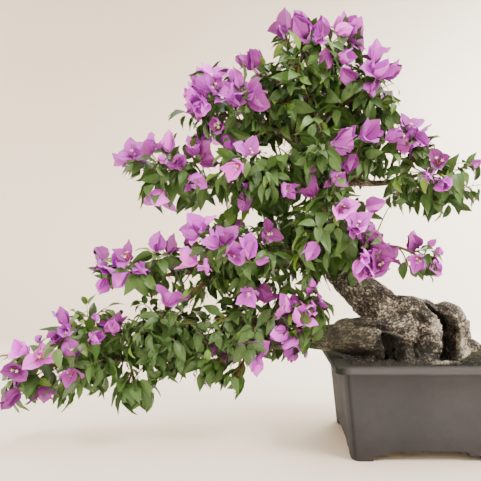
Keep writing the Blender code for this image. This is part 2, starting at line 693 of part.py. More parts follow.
class Foliage:
    """One mass: a stem, the twigs that branch from it, and their leaves and bracts."""

    def __init__(self, index, mass, limb, spaces):
        self.mass = mass
        self.spaces = spaces
        self.chance = random.Random(SEED + index)
        self.centre = Vector(mass.centre)
        self.radii = Vector(mass.radii)
        self.parts = []
        self.blades = []
        self.twigs = []
        self.turn = 0
        self.place = 0
        start, heading = limb.leave(mass.along, mass.centre, STEM_RADIUS)
        self.heading = heading
        reach = (self.centre - start).length
        far = self.centre + (self.centre - start).normalized() * min(mass.radii) * STEM_REACH
        self.stem = Limb(
            mass.name,
            (start + heading * GAP, start + heading * reach * STEM_BEND, far),
            (STEM_RADIUS, (STEM_RADIUS + STEM_TIP_RADIUS) / 2, STEM_TIP_RADIUS),
            heading,
        )

    def spot(self, x, y, z):
        return self.centre + Vector((x, y, z)) * self.radii

    def targets(self):
        """Where the twigs go, evenly round the space, and whether each ends in a bloom."""
        count = round(ellipsoid_area(self.radii) * TWIGS_PER_AREA) + 2
        first_turn = self.chance.uniform(0, 2 * math.pi)
        found = []
        for across, up in self.mass.blooms:
            ahead = -math.sqrt(max(1 - across**2 - up**2, 0))
            found.append((Vector((across, ahead, up)), True))
        for i in range(count):
            z = 1 - (2 * i + 1) / count
            flat = math.sqrt(1 - z * z)
            angle = i * GOLDEN_ANGLE + first_turn
            direction = Vector((flat * math.cos(angle), flat * math.sin(angle), z))
            if any(direction.dot(other) > BLOOM_ROOM for other, _ in found):
                continue
            blooms = direction.y > FAR_SIDE and self.chance.random() < FAR_BLOOM_CHANCE
            found.append((direction, blooms))
        return found

    def add_blade(self, root, direction, length, width, finish):
        """Adds a leaf or bract where it fits, smaller if it has to be."""
        roll = self.chance.uniform(-1, 1) * LEAF_ROLL
        for size in BLADE_SIZES:
            corners = leaf_corners(root, direction, roll, length * size, width)
            base, left, right, tip, _ = corners
            if not all(self.spaces.owns(self.mass.name, corner) for corner in corners[1:]):
                continue
            if not self.spaces.clear(base, tip, (right - left).length * BLADE_CLEARANCE):
                continue
            shape = leaf_shape(corners)
            blade = surface(shape)
            if any(blade.overlap(other) for other in self.blades + self.twigs[:-1]):
                shape.free()
                continue
            self.blades.append(blade)
            self.parts.append(new_object("blade", shape, finish))
            return True
        return False

    def add_leaf(self, root, direction):
        length = LEAF_LENGTH + self.chance.uniform(-1, 1) * LEAF_LENGTH_SPREAD
        return self.add_blade(root, direction, length, LEAF_WIDTH, LEAF)

    def add_bloom(self, end, ahead):
        """Three bracts, standing round the twig's end."""
        side = side_of(ahead)
        for i in range(BRACTS):
            out = side.copy()
            out.rotate(Quaternion(ahead, 2 * math.pi * (i + 0.5) / BRACTS))
            direction = (ahead * BRACT_AHEAD + out).normalized()
            root = end - ahead * (ROOT_SUNK + i * BRACT_STEP) - direction * ROOT_SUNK
            self.add_blade(root, direction, BRACT_LENGTH, BRACT_WIDTH, BRACT)

    def twig_start(self, end):
        """Where on the stem a twig to this end can start, having added it, if anywhere."""
        if not self.spaces.owns(self.mass.name, end):
            return None
        for _ in range(TWIG_TRIES):
            self.place = (self.place + GOLDEN_STEP) % 1
            start = self.stem.at(TWIG_START + (TWIG_LAST_START - TWIG_START) * self.place)
            if not self.spaces.clear(start, end, TWIG_RADIUS):
                continue
            shape = tube_shape((start, end), (TWIG_RADIUS, TWIG_TIP_RADIUS), TWIG_SIDES)
            twig = surface(shape)
            if any(twig.overlap(other) for other in self.blades):
                shape.free()
                continue
            self.twigs.append(twig)
            self.parts.append(new_object("twig", shape, TWIG))
            return start
        return None

    def add_twig(self, direction, blooms):
        """A straight twig towards one target, with its leaves."""
        edge = self.spot(*direction) - self.centre
        room = TIP_ROOM * (BRACT_LENGTH if blooms else LEAF_LENGTH)
        end = self.centre + edge * max(1 - room / edge.length, LEAST_SPREAD)
        start = self.twig_start(end)
        if start is None:
            return
        ahead = (end - start).normalized()
        length = (end - start).length
        side = side_of(ahead)
        count = max(int(length / LEAF_SPACING), 1)
        for i in range(count):
            place = start + ahead * (length - LEAF_SPACING * (i + FIRST_LEAF))
            for _ in range(TWIG_SIDES):
                self.turn += 1
                out = side.copy()
                out.rotate(Quaternion(ahead, 2 * math.pi * (self.turn + 0.5) / TWIG_SIDES))
                heading = (ahead * LEAF_AHEAD + out * LEAF_OUT - UP * LEAF_DROOP).normalized()
                if self.add_leaf(place - heading * ROOT_SUNK, heading):
                    break
        if blooms:
            self.add_bloom(end, ahead)
        else:
            heading = (ahead - UP * TIP_LEAF_DROOP).normalized()
            self.add_leaf(end - ahead * ROOT_SUNK - heading * ROOT_SUNK, heading)

    def make(self):
        for direction, blooms in self.targets():
            self.add_twig(direction, blooms)
        made = make_limb(self.stem, TWIG_SIDES, STEM_RINGS, TWIG)
        join(made, self.parts)
        return made


def stand_over_origin(objects):
    """Moves everything alike, so that the middle of the box round it lies over the origin."""
    corners = [vert.co for made in objects for vert in made.data.vertices]
    offset = Vector((0, 0, 0))
    for axis in (0, 1):
        values = [corner[axis] for corner in corners]
        offset[axis] = -(min(values) + max(values)) / 2
    for made in objects:
        made.location = offset


def station_limb(name, stations):
    """A limb through stations, each a place with the radius there."""
    return Limb(name, [place for place, _ in stations], [radius for _, radius in stations])


def bough_limb(bough, parent):
    """The bough's line, which starts just clear of the limb that carries it."""
    start, heading = parent.leave(bough.along, bough.way[0], bough.radius)
    points = (start + heading * GAP, *bough.way)
    taper = (bough.tip_radius - bough.radius) / len(bough.way)
    radii = [bough.radius + taper * i for i in range(len(points))]
    return Limb(bough.name, points, radii, heading)


def main():
    for old in list(bpy.data.objects):
        bpy.data.objects.remove(old)

    trunk = station_limb("trunk", TRUNK_STATIONS)
    stub = station_limb("stub", STUB_STATIONS)
    roots = [root_limb(i, root) for i, root in enumerate(ROOTS)]
    limbs = {"trunk": trunk, "stub": stub}
    boughs = []
    for bough in BOUGHS:
        limb = bough_limb(bough, limbs[bough.parent])
        limbs[bough.name] = limb
        boughs.append(limb)

    spaces = Spaces(MASSES, [])
    foliage = [Foliage(i, mass, limbs[mass.parent], spaces) for i, mass in enumerate(MASSES)]
    for limb in (*limbs.values(), *roots):
        spaces.capsules += limb.capsules()

    objects = [make_pot(), make_soil(), make_trunk(trunk, stub, roots)]
    objects += [make_bough(limb) for limb in boughs]
    objects += [mass.make() for mass in foliage]
    stand_over_origin(objects)


main()
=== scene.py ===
"""The looks of a bougainvillea trained as a bonsai in an unglazed clay pot.

Lengths are in metres. Places are given from the middle of the pot's foot, which is read
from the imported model, and each piece's object stands there. The limbs and the masses of
foliage follow the same named sizes and the same branching rule as the solids that they
replace, carried on to finer twigs, leaves and blooms.
"""

import json
import math
import random
from collections import namedtuple

import bmesh
import bpy
import numpy as np
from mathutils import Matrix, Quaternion, Vector, noise

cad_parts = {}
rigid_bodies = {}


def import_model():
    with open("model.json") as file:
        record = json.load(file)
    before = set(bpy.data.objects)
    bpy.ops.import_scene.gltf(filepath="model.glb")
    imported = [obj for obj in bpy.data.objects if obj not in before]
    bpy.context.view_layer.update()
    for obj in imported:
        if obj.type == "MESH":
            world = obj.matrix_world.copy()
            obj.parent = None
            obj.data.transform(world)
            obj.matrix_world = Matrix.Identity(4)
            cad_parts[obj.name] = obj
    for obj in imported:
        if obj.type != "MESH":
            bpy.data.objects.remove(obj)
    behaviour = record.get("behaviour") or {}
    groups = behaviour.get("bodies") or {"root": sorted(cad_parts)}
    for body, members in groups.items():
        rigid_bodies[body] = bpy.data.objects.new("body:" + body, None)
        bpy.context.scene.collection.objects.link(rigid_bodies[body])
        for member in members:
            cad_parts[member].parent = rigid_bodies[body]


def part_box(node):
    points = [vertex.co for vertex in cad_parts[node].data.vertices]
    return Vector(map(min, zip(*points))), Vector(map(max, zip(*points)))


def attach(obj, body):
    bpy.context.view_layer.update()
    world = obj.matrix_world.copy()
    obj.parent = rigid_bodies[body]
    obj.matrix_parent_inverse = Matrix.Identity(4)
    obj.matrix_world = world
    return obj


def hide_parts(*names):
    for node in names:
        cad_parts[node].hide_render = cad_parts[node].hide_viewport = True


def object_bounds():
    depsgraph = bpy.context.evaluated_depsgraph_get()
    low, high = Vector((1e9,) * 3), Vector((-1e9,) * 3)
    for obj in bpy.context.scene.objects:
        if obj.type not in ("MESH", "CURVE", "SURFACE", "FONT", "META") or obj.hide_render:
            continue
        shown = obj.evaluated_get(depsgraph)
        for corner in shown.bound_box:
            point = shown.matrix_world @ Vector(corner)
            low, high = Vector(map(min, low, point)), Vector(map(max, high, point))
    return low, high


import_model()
CAD_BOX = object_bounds()

UP = Vector((0, 0, 1))
GOLDEN_ANGLE = math.pi * (3 - math.sqrt(5))
GOLDEN_STEP = (math.sqrt(5) - 1) / 2

POT_LOW, POT_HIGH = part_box("pot")
MIDDLE = Vector(((POT_LOW.x + POT_HIGH.x) / 2, (POT_LOW.y + POT_HIGH.y) / 2, 0))

# The photograph's frame and view
PHOTO_SIZE = 481
VANISHING_X = 287.5
HORIZON_Y = 294
LENS_MM = 33
SENSOR_MM = 36
CAMERA_PLACE = Vector((-0.2354, -0.859, 0.2792))

# Pot, with an outward lip and one cut-out between the feet on each side
POT_WIDTH = POT_HIGH.x - POT_LOW.x
POT_DEPTH = POT_HIGH.y - POT_LOW.y
POT_HEIGHT = POT_HIGH.z
LIP_WIDTH = 0.028
LIP_HEIGHT = 0.011
LIP_OVERHANG = 0.014
LIP_ROUNDING = 0.0026
BODY_TAPER = 0.016
INNER_TAPER = 0.013
CORNER_RADIUS = 0.016
CORNER_STEPS = 10
ARC_STEPS = 4
# Between body and lip: each place's distance in from the body's edge and up from the lip's
UNDER_LIP = ((0.0015, -0.004), (0, -0.001), (-0.002, 0))
FLOOR_TOP = 0.032
FOOT_WIDTH = 0.035
FOOT_FLARE = 0.008
STEP_HEIGHT = 0.0085
STEP_END = 0.059
CUT_OUT_START = 0.071
CUT_OUT_HEIGHT = 0.0165
CURVE_STEPS = 8
EDGE_WEAR = 0.0012

# Where the clay's colour changes: soiled on the foot and darker on top of the lip by height,
# a painted highlight on the lip by height, painted shade down each corner by distance, and
# a painted highlight at the front of the lip's top and painted shade at its left end by place
LIP_FOOT = POT_HEIGHT - LIP_HEIGHT
FOOT_BAND = (0.045, 0.0)
CORNER_SHADE_BAND = (0.001, 0.007)
LIP_HIGHLIGHT_BAND = (LIP_FOOT, LIP_FOOT + 0.003)
LIP_EDGE_BAND = (LIP_FOOT - 0.002, LIP_FOOT + 0.002)
LIP_TOP_BAND = (POT_HEIGHT - 0.0022, POT_HEIGHT - 0.0006)
FRONT_HIGHLIGHT_BAND = (-POT_DEPTH / 2 + 0.024, -POT_DEPTH / 2 + 0.006)
LEFT_END_SHADE_BAND = (-POT_WIDTH / 2 + 0.026, -POT_WIDTH / 2 + 0.01)

# Soil, grit and moss
SOIL_TOP = 0.155
SOIL_STEPS = 120
SOIL_RELIEF = 0.0022
SOIL_SCALE = 60
CRUMB_RELIEF = 0.0008
CRUMB_SCALE = 400
SOIL_DEPTH = 0.05
SOIL_CLEARANCE = 0.0002
SOIL_EDGE = 0.004
SOIL_EDGE_DROP = 0.001
GRIT_STONES = 1500
GRIT_CLEARANCE = 0.004
GRIT_LOST_IN_MOSS = 0.85
GRIT_SIZE = 0.0009
GRIT_SIZE_RANGE = 0.0022
GRIT_STRETCH = (0.7, 1.3)
GRIT_JITTER = (0.75, 1.2)
GRIT_RISE = 0.25
MOSS_TUFTS = 5200
MOSS_CLEARANCE = 0.002
MOSS_SPREAD = 1.15
MOSS_START = 0.06
MOSS_EDGE = 0.22
MOSS_EDGE_SCALE = 70
TUFT_DEPTH = 0.0004
TUFT_HEIGHTS = (0.0014, 0.0034)
TUFT_WIDTHS = (0.0005, 0.001)
TUFT_TURNS = (0.0, 2.1, 4.2)
# Each patch of moss: its middle, its radius and how high it is mounded
MOSS_PATCHES = (
    ((0.114, -0.084), 0.046, 0.0225),
    ((0.124, -0.03), 0.044, 0.013),
    ((0.112, 0.078), 0.05, 0.006),
    ((-0.11, 0.098), 0.034, 0.004),
    ((0.0, 0.122), 0.04, 0.0045),
)

# Trunk, stub, ridge, burl and roots: the centre line's stations, with the radius at each
TRUNK_STATIONS = (
    ((0.055, 0.0, 0.11), 0.07),
    ((0.036, 0.0, 0.165), 0.067),
    ((0.006, 0.0, 0.2), 0.058),
    ((-0.036, 0.0, 0.236), 0.043),
    ((-0.088, 0.0, 0.281), 0.0345),
    ((-0.133, 0.0, 0.332), 0.0325),
    ((-0.15, 0.001, 0.39), 0.0275),
    ((-0.155, 0.002, 0.46), 0.022),
    ((-0.163, 0.003, 0.535), 0.017),
    ((-0.18, 0.001, 0.615), 0.0115),
    ((-0.193, 0.0, 0.7), 0.0065),
)
STUB_STATIONS = (
    ((-0.01, -0.008, 0.205), 0.049),
    ((-0.07, -0.018, 0.201), 0.04),
    ((-0.118, -0.023, 0.197), 0.0345),
    ((-0.15, -0.026, 0.197), 0.026),
    ((-0.195, -0.028, 0.197), 0.0215),
)
RIDGE_STATIONS = (
    ((-0.04, -0.004, 0.24), 0.034),
    ((-0.01, -0.016, 0.243), 0.033),
    ((0.012, -0.03, 0.231), 0.029),
    ((0.026, -0.041, 0.208), 0.026),
    ((0.024, -0.047, 0.184), 0.024),
    ((0.015, -0.051, 0.162), 0.023),
    ((0.018, -0.056, 0.14), 0.023),
)
STRUT_STATIONS = (
    ((0.092, -0.03, 0.224), 0.015),
    ((0.091, -0.046, 0.204), 0.0072),
    ((0.084, -0.053, 0.186), 0.0052),
    ((0.075, -0.06, 0.168), 0.0056),
    ((0.069, -0.068, 0.148), 0.0075),
)
FORKED_ROOT_STATIONS = (
    ((0.106, -0.036, 0.186), 0.014),
    ((0.094, -0.048, 0.176), 0.011),
    ((0.08, -0.058, 0.162), 0.009),
    ((0.071, -0.068, 0.146), 0.009),
)
RIM_ROOT_STATIONS = (
    ((0.02, -0.08, 0.15), 0.006),
    ((0.032, -0.09, 0.1575), 0.005),
    ((0.052, -0.092, 0.1585), 0.005),
    ((0.068, -0.08, 0.154), 0.006),
)
LUMPS_ON_BASE = (
    ((0.02, 0.008, 0.222), (0.05, 0.046, 0.047)),
    ((0.072, -0.006, 0.219), (0.037, 0.043, 0.045)),
    ((0.09, 0.004, 0.196), (0.029, 0.038, 0.036)),
    ((-0.124, -0.014, 0.216), (0.024, 0.028, 0.0175)),
    ((0.064, 0.018, 0.206), (0.036, 0.038, 0.04)),
)
# Hollows in the front of the trunk's base: the places across and up that each passes,
# with its half width there, its depth and how dark the painted shade in it is
Hollow = namedtuple("Hollow", "places depth stain")
HOLLOWS = (
    Hollow((((0.031, 0.257), 0.003), ((0.042, 0.242), 0.006), ((0.057, 0.227), 0.0115),
            ((0.068, 0.206), 0.0155), ((0.063, 0.184), 0.0165), ((0.057, 0.15), 0.016)), 0.062, 0.95),
    Hollow((((-0.03, 0.258), 0.003), ((-0.01, 0.245), 0.0045), ((0.008, 0.233), 0.0045),
            ((0.024, 0.223), 0.003)), 0.01, 0.6),
    Hollow((((-0.058, 0.2), 0.007), ((-0.048, 0.188), 0.013), ((-0.042, 0.174), 0.015),
            ((-0.04, 0.156), 0.014)), 0.026, 1.0),
    Hollow((((0.03, 0.214), 0.002), ((0.01, 0.2), 0.004), ((-0.002, 0.182), 0.004),
            ((-0.004, 0.164), 0.003)), 0.009, 0.6),
    Hollow((((-0.112, 0.223), 0.002), ((-0.064, 0.217), 0.004), ((-0.026, 0.206), 0.004)), 0.008, 0.5),
)
FRONT_OF_BASE = 0.03
# Painted shade on the bark, under the stub, on the front of the base and round the trunk's
# foot: the middle and the radii of each place, and how dark
Patch = namedtuple("Patch", "centre radii amount")
PAINTED_SHADE_PATCHES = (
    Patch((-0.05, -0.06, 0.194), (0.034, 0.06, 0.016), 1.0),
    Patch((-0.044, -0.06, 0.17), (0.05, 0.06, 0.022), 0.95),
    Patch((-0.102, -0.05, 0.168), (0.058, 0.05, 0.013), 0.95),
    Patch((0.004, -0.07, 0.166), (0.044, 0.06, 0.036), 0.8),
    Patch((0.03, -0.08, 0.15), (0.03, 0.05, 0.016), 0.55),
    Patch((-0.1, 0.06, 0.165), (0.1, 0.07, 0.024), 0.6),
    Patch((0.02, 0.09, 0.162), (0.1, 0.05, 0.022), 0.6),
)
# Painted light on the bark, on the lit right-hand sides of the ridge, the burl and the roots:
# the middle and the radii of each place, and how much lighter
PAINTED_LIGHT_PLACES = (
    Patch((0.036, -0.045, 0.219), (0.022, 0.03, 0.022), 0.24),
    Patch((0.08, -0.05, 0.196), (0.013, 0.02, 0.032), 0.34),
    Patch((0.045, -0.088, 0.158), (0.034, 0.016, 0.01), 0.34),
    Patch((0.096, -0.02, 0.235), (0.014, 0.03, 0.02), 0.2),
    Patch((0.096, -0.055, 0.172), (0.018, 0.03, 0.024), 0.22),
)
# The stub's bark is worn smooth from here to its end
OLD_WOOD_X = -0.066
OLD_WOOD_FADE = 0.03
SMOOTH_BURL = ((0.07, -0.014, 0.238), (0.04, 0.05, 0.026))
ROOT_FOOT = Vector((0.012, 0.0, SOIL_TOP))
Root = namedtuple("Root", "heading reach rise end_rise radius end_radius")
ROOTS = (
    Root(-26, 0.122, 0.052, 0.02, 0.032, 0.013),
    Root(18, 0.104, 0.04, -0.004, 0.03, 0.009),
    Root(74, 0.088, 0.036, -0.005, 0.027, 0.009),
    Root(122, 0.096, 0.034, -0.006, 0.026, 0.008),
    Root(168, 0.122, 0.036, -0.006, 0.027, 0.008),
    Root(202, 0.128, 0.04, -0.005, 0.03, 0.009),
    Root(243, 0.09, 0.036, -0.006, 0.027, 0.009),
    Root(287, 0.086, 0.034, -0.006, 0.026, 0.008),
    Root(-50, 0.112, 0.02, -0.001, 0.012, 0.0045),
    Root(-68, 0.104, 0.016, -0.003, 0.01, 0.004),
    Root(45, 0.106, 0.018, -0.004, 0.012, 0.0045),
    Root(98, 0.104, 0.016, -0.004, 0.011, 0.004),
    Root(146, 0.118, 0.016, -0.005, 0.011, 0.004),
    Root(186, 0.136, 0.014, -0.005, 0.01, 0.0035),
    Root(224, 0.112, 0.018, -0.005, 0.012, 0.004),
    Root(262, 0.1, 0.016, -0.005, 0.011, 0.004),
)
ROOT_WAVE = 0.01
ROOT_END_DEPTH = 0.006

# The bark's relief, its skins as a grid size and a number of smoothing steps, and the
# tubes that it is made from
LUMP_HEIGHT = 0.0044
SINEW_HEIGHT = 0.0016
PLATE_HEIGHT = 0.0015
GRAIN_HEIGHT = 0.0006
PLATE_SCALE = 215
PLATE_GAP = 0.42
PLATE_STRETCH = 0.55
SINEW_SCALE = 105
SINEW_STRETCH = 0.72
GRAIN_SCALE = 430
BARK_LUMP_SCALE = 42
WARP = 0.004
WARP_SCALE = 70
BODY_RELIEF = (1.0, 1.0, 1.1)
ROOT_RELIEF = 0.8
STRUT_RELIEF = (0.6, 0.7, 0.4)
OLD_WOOD_CALM = 0.68
OLD_WOOD_SMOOTHNESS = 0.85
BURL_SMOOTHNESS = 0.5
COARSE_SKIN = (0.0025, 5)
FINE_SKIN = (0.0018, 3)
LIMB_SAMPLES = 48
TRUNK_SUNK = 0.004
TUBE_STEP = 0.008
TUBE_SIDES = 28
BOUGH_STEP = 0.0035
BOUGH_SIDES = 18
BOUGH_WOBBLE = 0.0035
BOUGH_FLARE = 0.45
FLARE_REACH = 2.2
WOBBLE_SCALE = 16
KNOT_SWELL = 0.16
KNOT_SCALE = 55
THIN_RELIEF = 0.22
RELIEF_PER_RADIUS = 22
MOST_RELIEF = 0.6
BOUGH_COARSENESS = 0.4
BOUGH_SMOOTHNESS = 0.35

# Each bough: its node, the limb it grows from, how far along, the points it passes on
# the way to its tip, and its radius where it starts and ends
Bough = namedtuple("Bough", "name parent along way radius tip_radius")
BOUGHS = (
    Bough("bough_low_left", "stub", 0.97,
          ((-0.32, 0.006, 0.182), (-0.49, 0.008, 0.158), (-0.655, -0.008, 0.144)), 0.02, 0.005),
    Bough("bough_mid_left", "trunk", 0.53,
          ((-0.215, 0.0, 0.338), (-0.33, 0.006, 0.33), (-0.46, -0.006, 0.318)), 0.0125, 0.0045),
    Bough("leader_left", "trunk", 0.68,
          ((-0.203, -0.006, 0.505), (-0.219, -0.006, 0.565), (-0.232, -0.002, 0.612)), 0.0125, 0.0055),
    Bough("bough_upper_left", "leader_left", 0.32,
          ((-0.25, 0.0, 0.5), (-0.32, 0.006, 0.49), (-0.41, -0.008, 0.496)), 0.008, 0.004),
    Bough("bough_high_left", "leader_left", 0.74,
          ((-0.262, -0.012, 0.592), (-0.31, -0.018, 0.604)), 0.007, 0.004),
    Bough("bough_top_right", "trunk", 0.885,
          ((-0.152, -0.006, 0.628), (-0.122, -0.008, 0.648)), 0.007, 0.004),
    Bough("bough_right", "trunk", 0.74,
          ((-0.108, 0.006, 0.5), (-0.048, 0.004, 0.496), (0.004, -0.008, 0.504)), 0.0085, 0.004),
    Bough("bough_low_right", "trunk", 0.545,
          ((-0.094, -0.036, 0.376), (-0.048, -0.056, 0.366)), 0.007, 0.0036),
    Bough("bough_back_low", "trunk", 0.56, ((-0.178, 0.046, 0.378), (-0.205, 0.082, 0.388)), 0.009, 0.0045),
    Bough("bough_back_right", "trunk", 0.655,
          ((-0.138, 0.044, 0.462), (-0.124, 0.078, 0.476)), 0.0085, 0.004),
    Bough("bough_back_left", "leader_left", 0.5,
          ((-0.236, 0.034, 0.546), (-0.258, 0.066, 0.544)), 0.0065, 0.004),
    Bough("bough_back_top", "trunk", 0.9, ((-0.18, 0.034, 0.65), (-0.172, 0.06, 0.66)), 0.0065, 0.004),
)

# Each mass of foliage: its name, the tier it is joined into, the limb that carries it, how
# far along, the middle and the radii of its space, how dense it is, and the blooms on its
# front, each as the place across and up, from -1 to 1. The first ones stand for nodes
FOLIAGE = (
    ("low_inner", "low", "bough_low_left", 0.3, (-0.3, -0.035, 0.217), (0.11, 0.115, 0.07), 1.6,
     ((0.3, 0.9), (0.9, 0.4), (0.9, -0.3), (0.1, -0.9))),
    ("low_middle", "low", "bough_low_left", 0.62, (-0.464, -0.04, 0.2), (0.106, 0.115, 0.08), 1.7,
     ((0.1, 0.9),)),
    ("low_outer", "low", "bough_low_left", 0.88, (-0.606, -0.03, 0.179), (0.074, 0.1, 0.087), 0.9,
     ((0.5, 0.6), (0.9, 0.4), (0.15, 0.95), (-0.7, 0.3), (-0.2, 0.6), (0.4, 0.3), (0.1, -0.33))),
    ("low_tip", "low", "bough_low_left", 1.0, (-0.716, -0.02, 0.138), (0.056, 0.078, 0.074), 0.6,
     ((-0.1, 0.1), (0.3, -0.5), (0.62, -0.5), (0.7, 0.4), (0.25, 0.62))),
    ("mid_inner", "middle", "bough_mid_left", 0.52, (-0.326, -0.04, 0.342), (0.114, 0.11, 0.084), 0.9,
     ((0.6, 0.75), (-0.7, 0.65), (-0.7, 0.4), (-0.2, 0.2), (-0.7, -0.2), (0.3, -0.2), (0.2, -0.8))),
    ("mid_outer", "middle", "bough_mid_left", 1.0, (-0.487, -0.024, 0.329), (0.068, 0.09, 0.052), 0.9,
     ((0.3, 0.5), (0.6, 0.8), (-0.7, 0.1))),
    ("upper_inner", "upper", "bough_upper_left", 0.42, (-0.288, -0.034, 0.499), (0.11, 0.1, 0.058), 0.9,
     ((-0.3, 0.3), (0.4, -0.5), (-0.3, -0.9))),
    ("upper_outer", "upper", "bough_upper_left", 1.0, (-0.447, -0.024, 0.503), (0.08, 0.088, 0.06), 0.6,
     ((-0.4, 0.3), (0.1, 0.5), (-0.25, -0.75), (0.5, -0.1), (0.8, 0.4), (0.1, -0.1))),
    ("high_left", "top", "bough_high_left", 1.0, (-0.353, -0.022, 0.622), (0.092, 0.09, 0.068), 0.7,
     ((-0.3, 0.1), (-0.6, -0.2), (0.0, 0.3), (0.6, 0.25), (0.42, -0.3), (0.0, -0.9), (-0.34, 0.6))),
    ("top_left", "top", "leader_left", 1.0, (-0.25, 0.0, 0.666), (0.097, 0.105, 0.084), 0.9,
     ((-0.7, 0.42),)),
    ("apex", "top", "trunk", 1.0, (-0.184, 0.0, 0.734), (0.099, 0.093, 0.066), 0.8,
     ((-0.2, 0.5), (-0.3, 0.0), (0.2, 0.0), (0.3, 0.5), (0.5, -0.5))),
    ("top_right", "top", "bough_top_right", 1.0, (-0.1, 0.0, 0.656), (0.076, 0.105, 0.096), 0.8,
     ((0.3, 0.5), (0.42, 0.1), (-0.2, 0.0))),
    ("right_inner", "upper", "bough_right", 0.36, (-0.096, -0.03, 0.551), (0.07, 0.08, 0.049), 0.86,
     ((-0.3, -0.35), (0.5, -0.2), (0.15, 0.5))),
    ("right_outer", "upper", "bough_right", 1.0, (0.044, -0.012, 0.493), (0.098, 0.092, 0.055), 0.8,
     ((-0.42, 0.0), (-0.15, 0.4), (-0.12, -0.25), (0.7, 0.3))),
    ("front", "middle", "trunk", 0.6, (-0.146, -0.088, 0.39), (0.091, 0.072, 0.088), 0.9,
     ((-0.6, 0.75), (-0.16, 0.38), (0.4, -0.2), (-0.6, -0.2), (0.7, -0.66), (0.42, -0.2))),
    ("front_upper", "upper", "trunk", 0.78, (-0.176, -0.075, 0.524), (0.07, 0.062, 0.069), 0.8,
     ((-0.2, -0.5), (0.4, -0.7), (0.3, 0.2))),
    ("low_right", "middle", "bough_low_right", 1.0, (0.0, -0.066, 0.346), (0.055, 0.048, 0.038), 0.05,
     ((-0.1, 0.6), (0.9, -0.35))),
    ("back_low", "back", "bough_back_low", 1.0, (-0.234, 0.13, 0.4), (0.126, 0.084, 0.08), 0.9, ()),
    ("back_right", "back", "bough_back_right", 1.0, (-0.15, 0.126, 0.566), (0.1, 0.086, 0.07), 0.9, ()),
    ("back_left", "back", "bough_back_left", 1.0, (-0.29, 0.12, 0.522), (0.11, 0.085, 0.07), 0.9, ()),
    ("back_top", "back", "bough_back_top", 1.0, (-0.162, 0.108, 0.683), (0.108, 0.082, 0.082), 0.9, ()),
)
SPRIGS = (
    ("low_inner", "low", "bough_low_left", 0.06, (-0.208, -0.06, 0.25), (0.052, 0.05, 0.048), 0.9,
     ((0.8, 0.1), (0.2, 0.7), (-0.6, -0.2))),
    ("low_hanging", "low", "bough_low_left", 0.78, (-0.51, -0.06, 0.113), (0.043, 0.046, 0.042), 0.9, ()),
    ("low_drooping", "low", "bough_low_left", 0.3, (-0.33, -0.06, 0.128), (0.032, 0.034, 0.03), 0.9, ()),
    ("right_top", "upper", "bough_right", 0.7, (-0.022, -0.01, 0.572), (0.05, 0.044, 0.036), 0.7,
     ((0.6, 0.2),)),
    ("upper_tip", "upper", "bough_upper_left", 1.0, (-0.512, -0.03, 0.522), (0.034, 0.05, 0.028), 0.15,
     ((-0.5, 0.0), (0.4, 0.4))),
    ("mid_tip", "middle", "bough_mid_left", 1.0, (-0.562, -0.026, 0.326), (0.04, 0.05, 0.034), 0.3,
     ((-0.5, 0.4), (0.5, 0.0), (-0.3, -0.6))),
    ("top_right", "top", "bough_top_right", 1.0, (-0.046, -0.02, 0.622), (0.038, 0.04, 0.034), 0.8, ()),
    ("mid_hanging", "middle", "bough_mid_left", 0.72, (-0.407, -0.06, 0.284), (0.034, 0.04, 0.03), 0.8, ()),
    ("right_shoots", "upper", "bough_right", 0.8, (0.018, -0.01, 0.548), (0.046, 0.044, 0.034), 0.9,
     ((-0.5, 0.4),)),
    ("front_right", "middle", "trunk", 0.5, (-0.084, -0.086, 0.33), (0.024, 0.03, 0.024), 0.3,
     ((0.2, -0.3), (-0.4, 0.2))),
    ("low_fringe", "low", "bough_low_left", 0.36, (-0.372, -0.06, 0.15), (0.046, 0.036, 0.034), 0.9, ()),
    ("apex_left", "top", "trunk", 0.96, (-0.236, 0.0, 0.772), (0.024, 0.03, 0.022), 0.3, ((-0.2, 0.6),)),
    ("apex_right", "top", "trunk", 0.96, (-0.124, 0.0, 0.738), (0.022, 0.03, 0.024), 0.3, ((0.1, 0.1),)),
    ("shoulder", "top", "bough_top_right", 1.0, (-0.072, -0.01, 0.692), (0.026, 0.035, 0.026), 0.4,
     ((0.2, 0.5),)),
    ("trunk_hanging", "middle", "bough_mid_left", 0.1, (-0.199, -0.08, 0.314), (0.022, 0.03, 0.028), 1.0,
     ()),
    ("tip_hanging", "low", "bough_low_left", 0.97, (-0.65, -0.04, 0.102), (0.03, 0.034, 0.034), 0.5, ()),
    ("apex_far_right", "top", "trunk", 0.97, (-0.128, 0.0, 0.766), (0.022, 0.028, 0.02), 0.2,
     ((0.2, 0.3),)),
    ("low_front", "low", "bough_low_left", 0.04, (-0.219, -0.072, 0.212), (0.036, 0.036, 0.036), 0.9,
     ((-0.1, 0.1),)),
)
Mass = namedtuple("Mass", "name tier parent along centre radii density blooms")
MASSES = [Mass("foliage_" + row[0], *row[1:]) for row in FOLIAGE]
MASSES += [Mass("sprig_" + row[0], *row[1:]) for row in SPRIGS]
TIERS = ("low", "middle", "upper", "top", "back")

# Seeds of what grows and lies by chance, and of the bark's warp
NOISE_SEED = 5
GRIT_SEED = 11
MOSS_SEED = 12
LEAF_SEED = 40
BRACT_SEED = 60
BOUGH_SHOOT_SEED = 77
MASS_SEED = 500

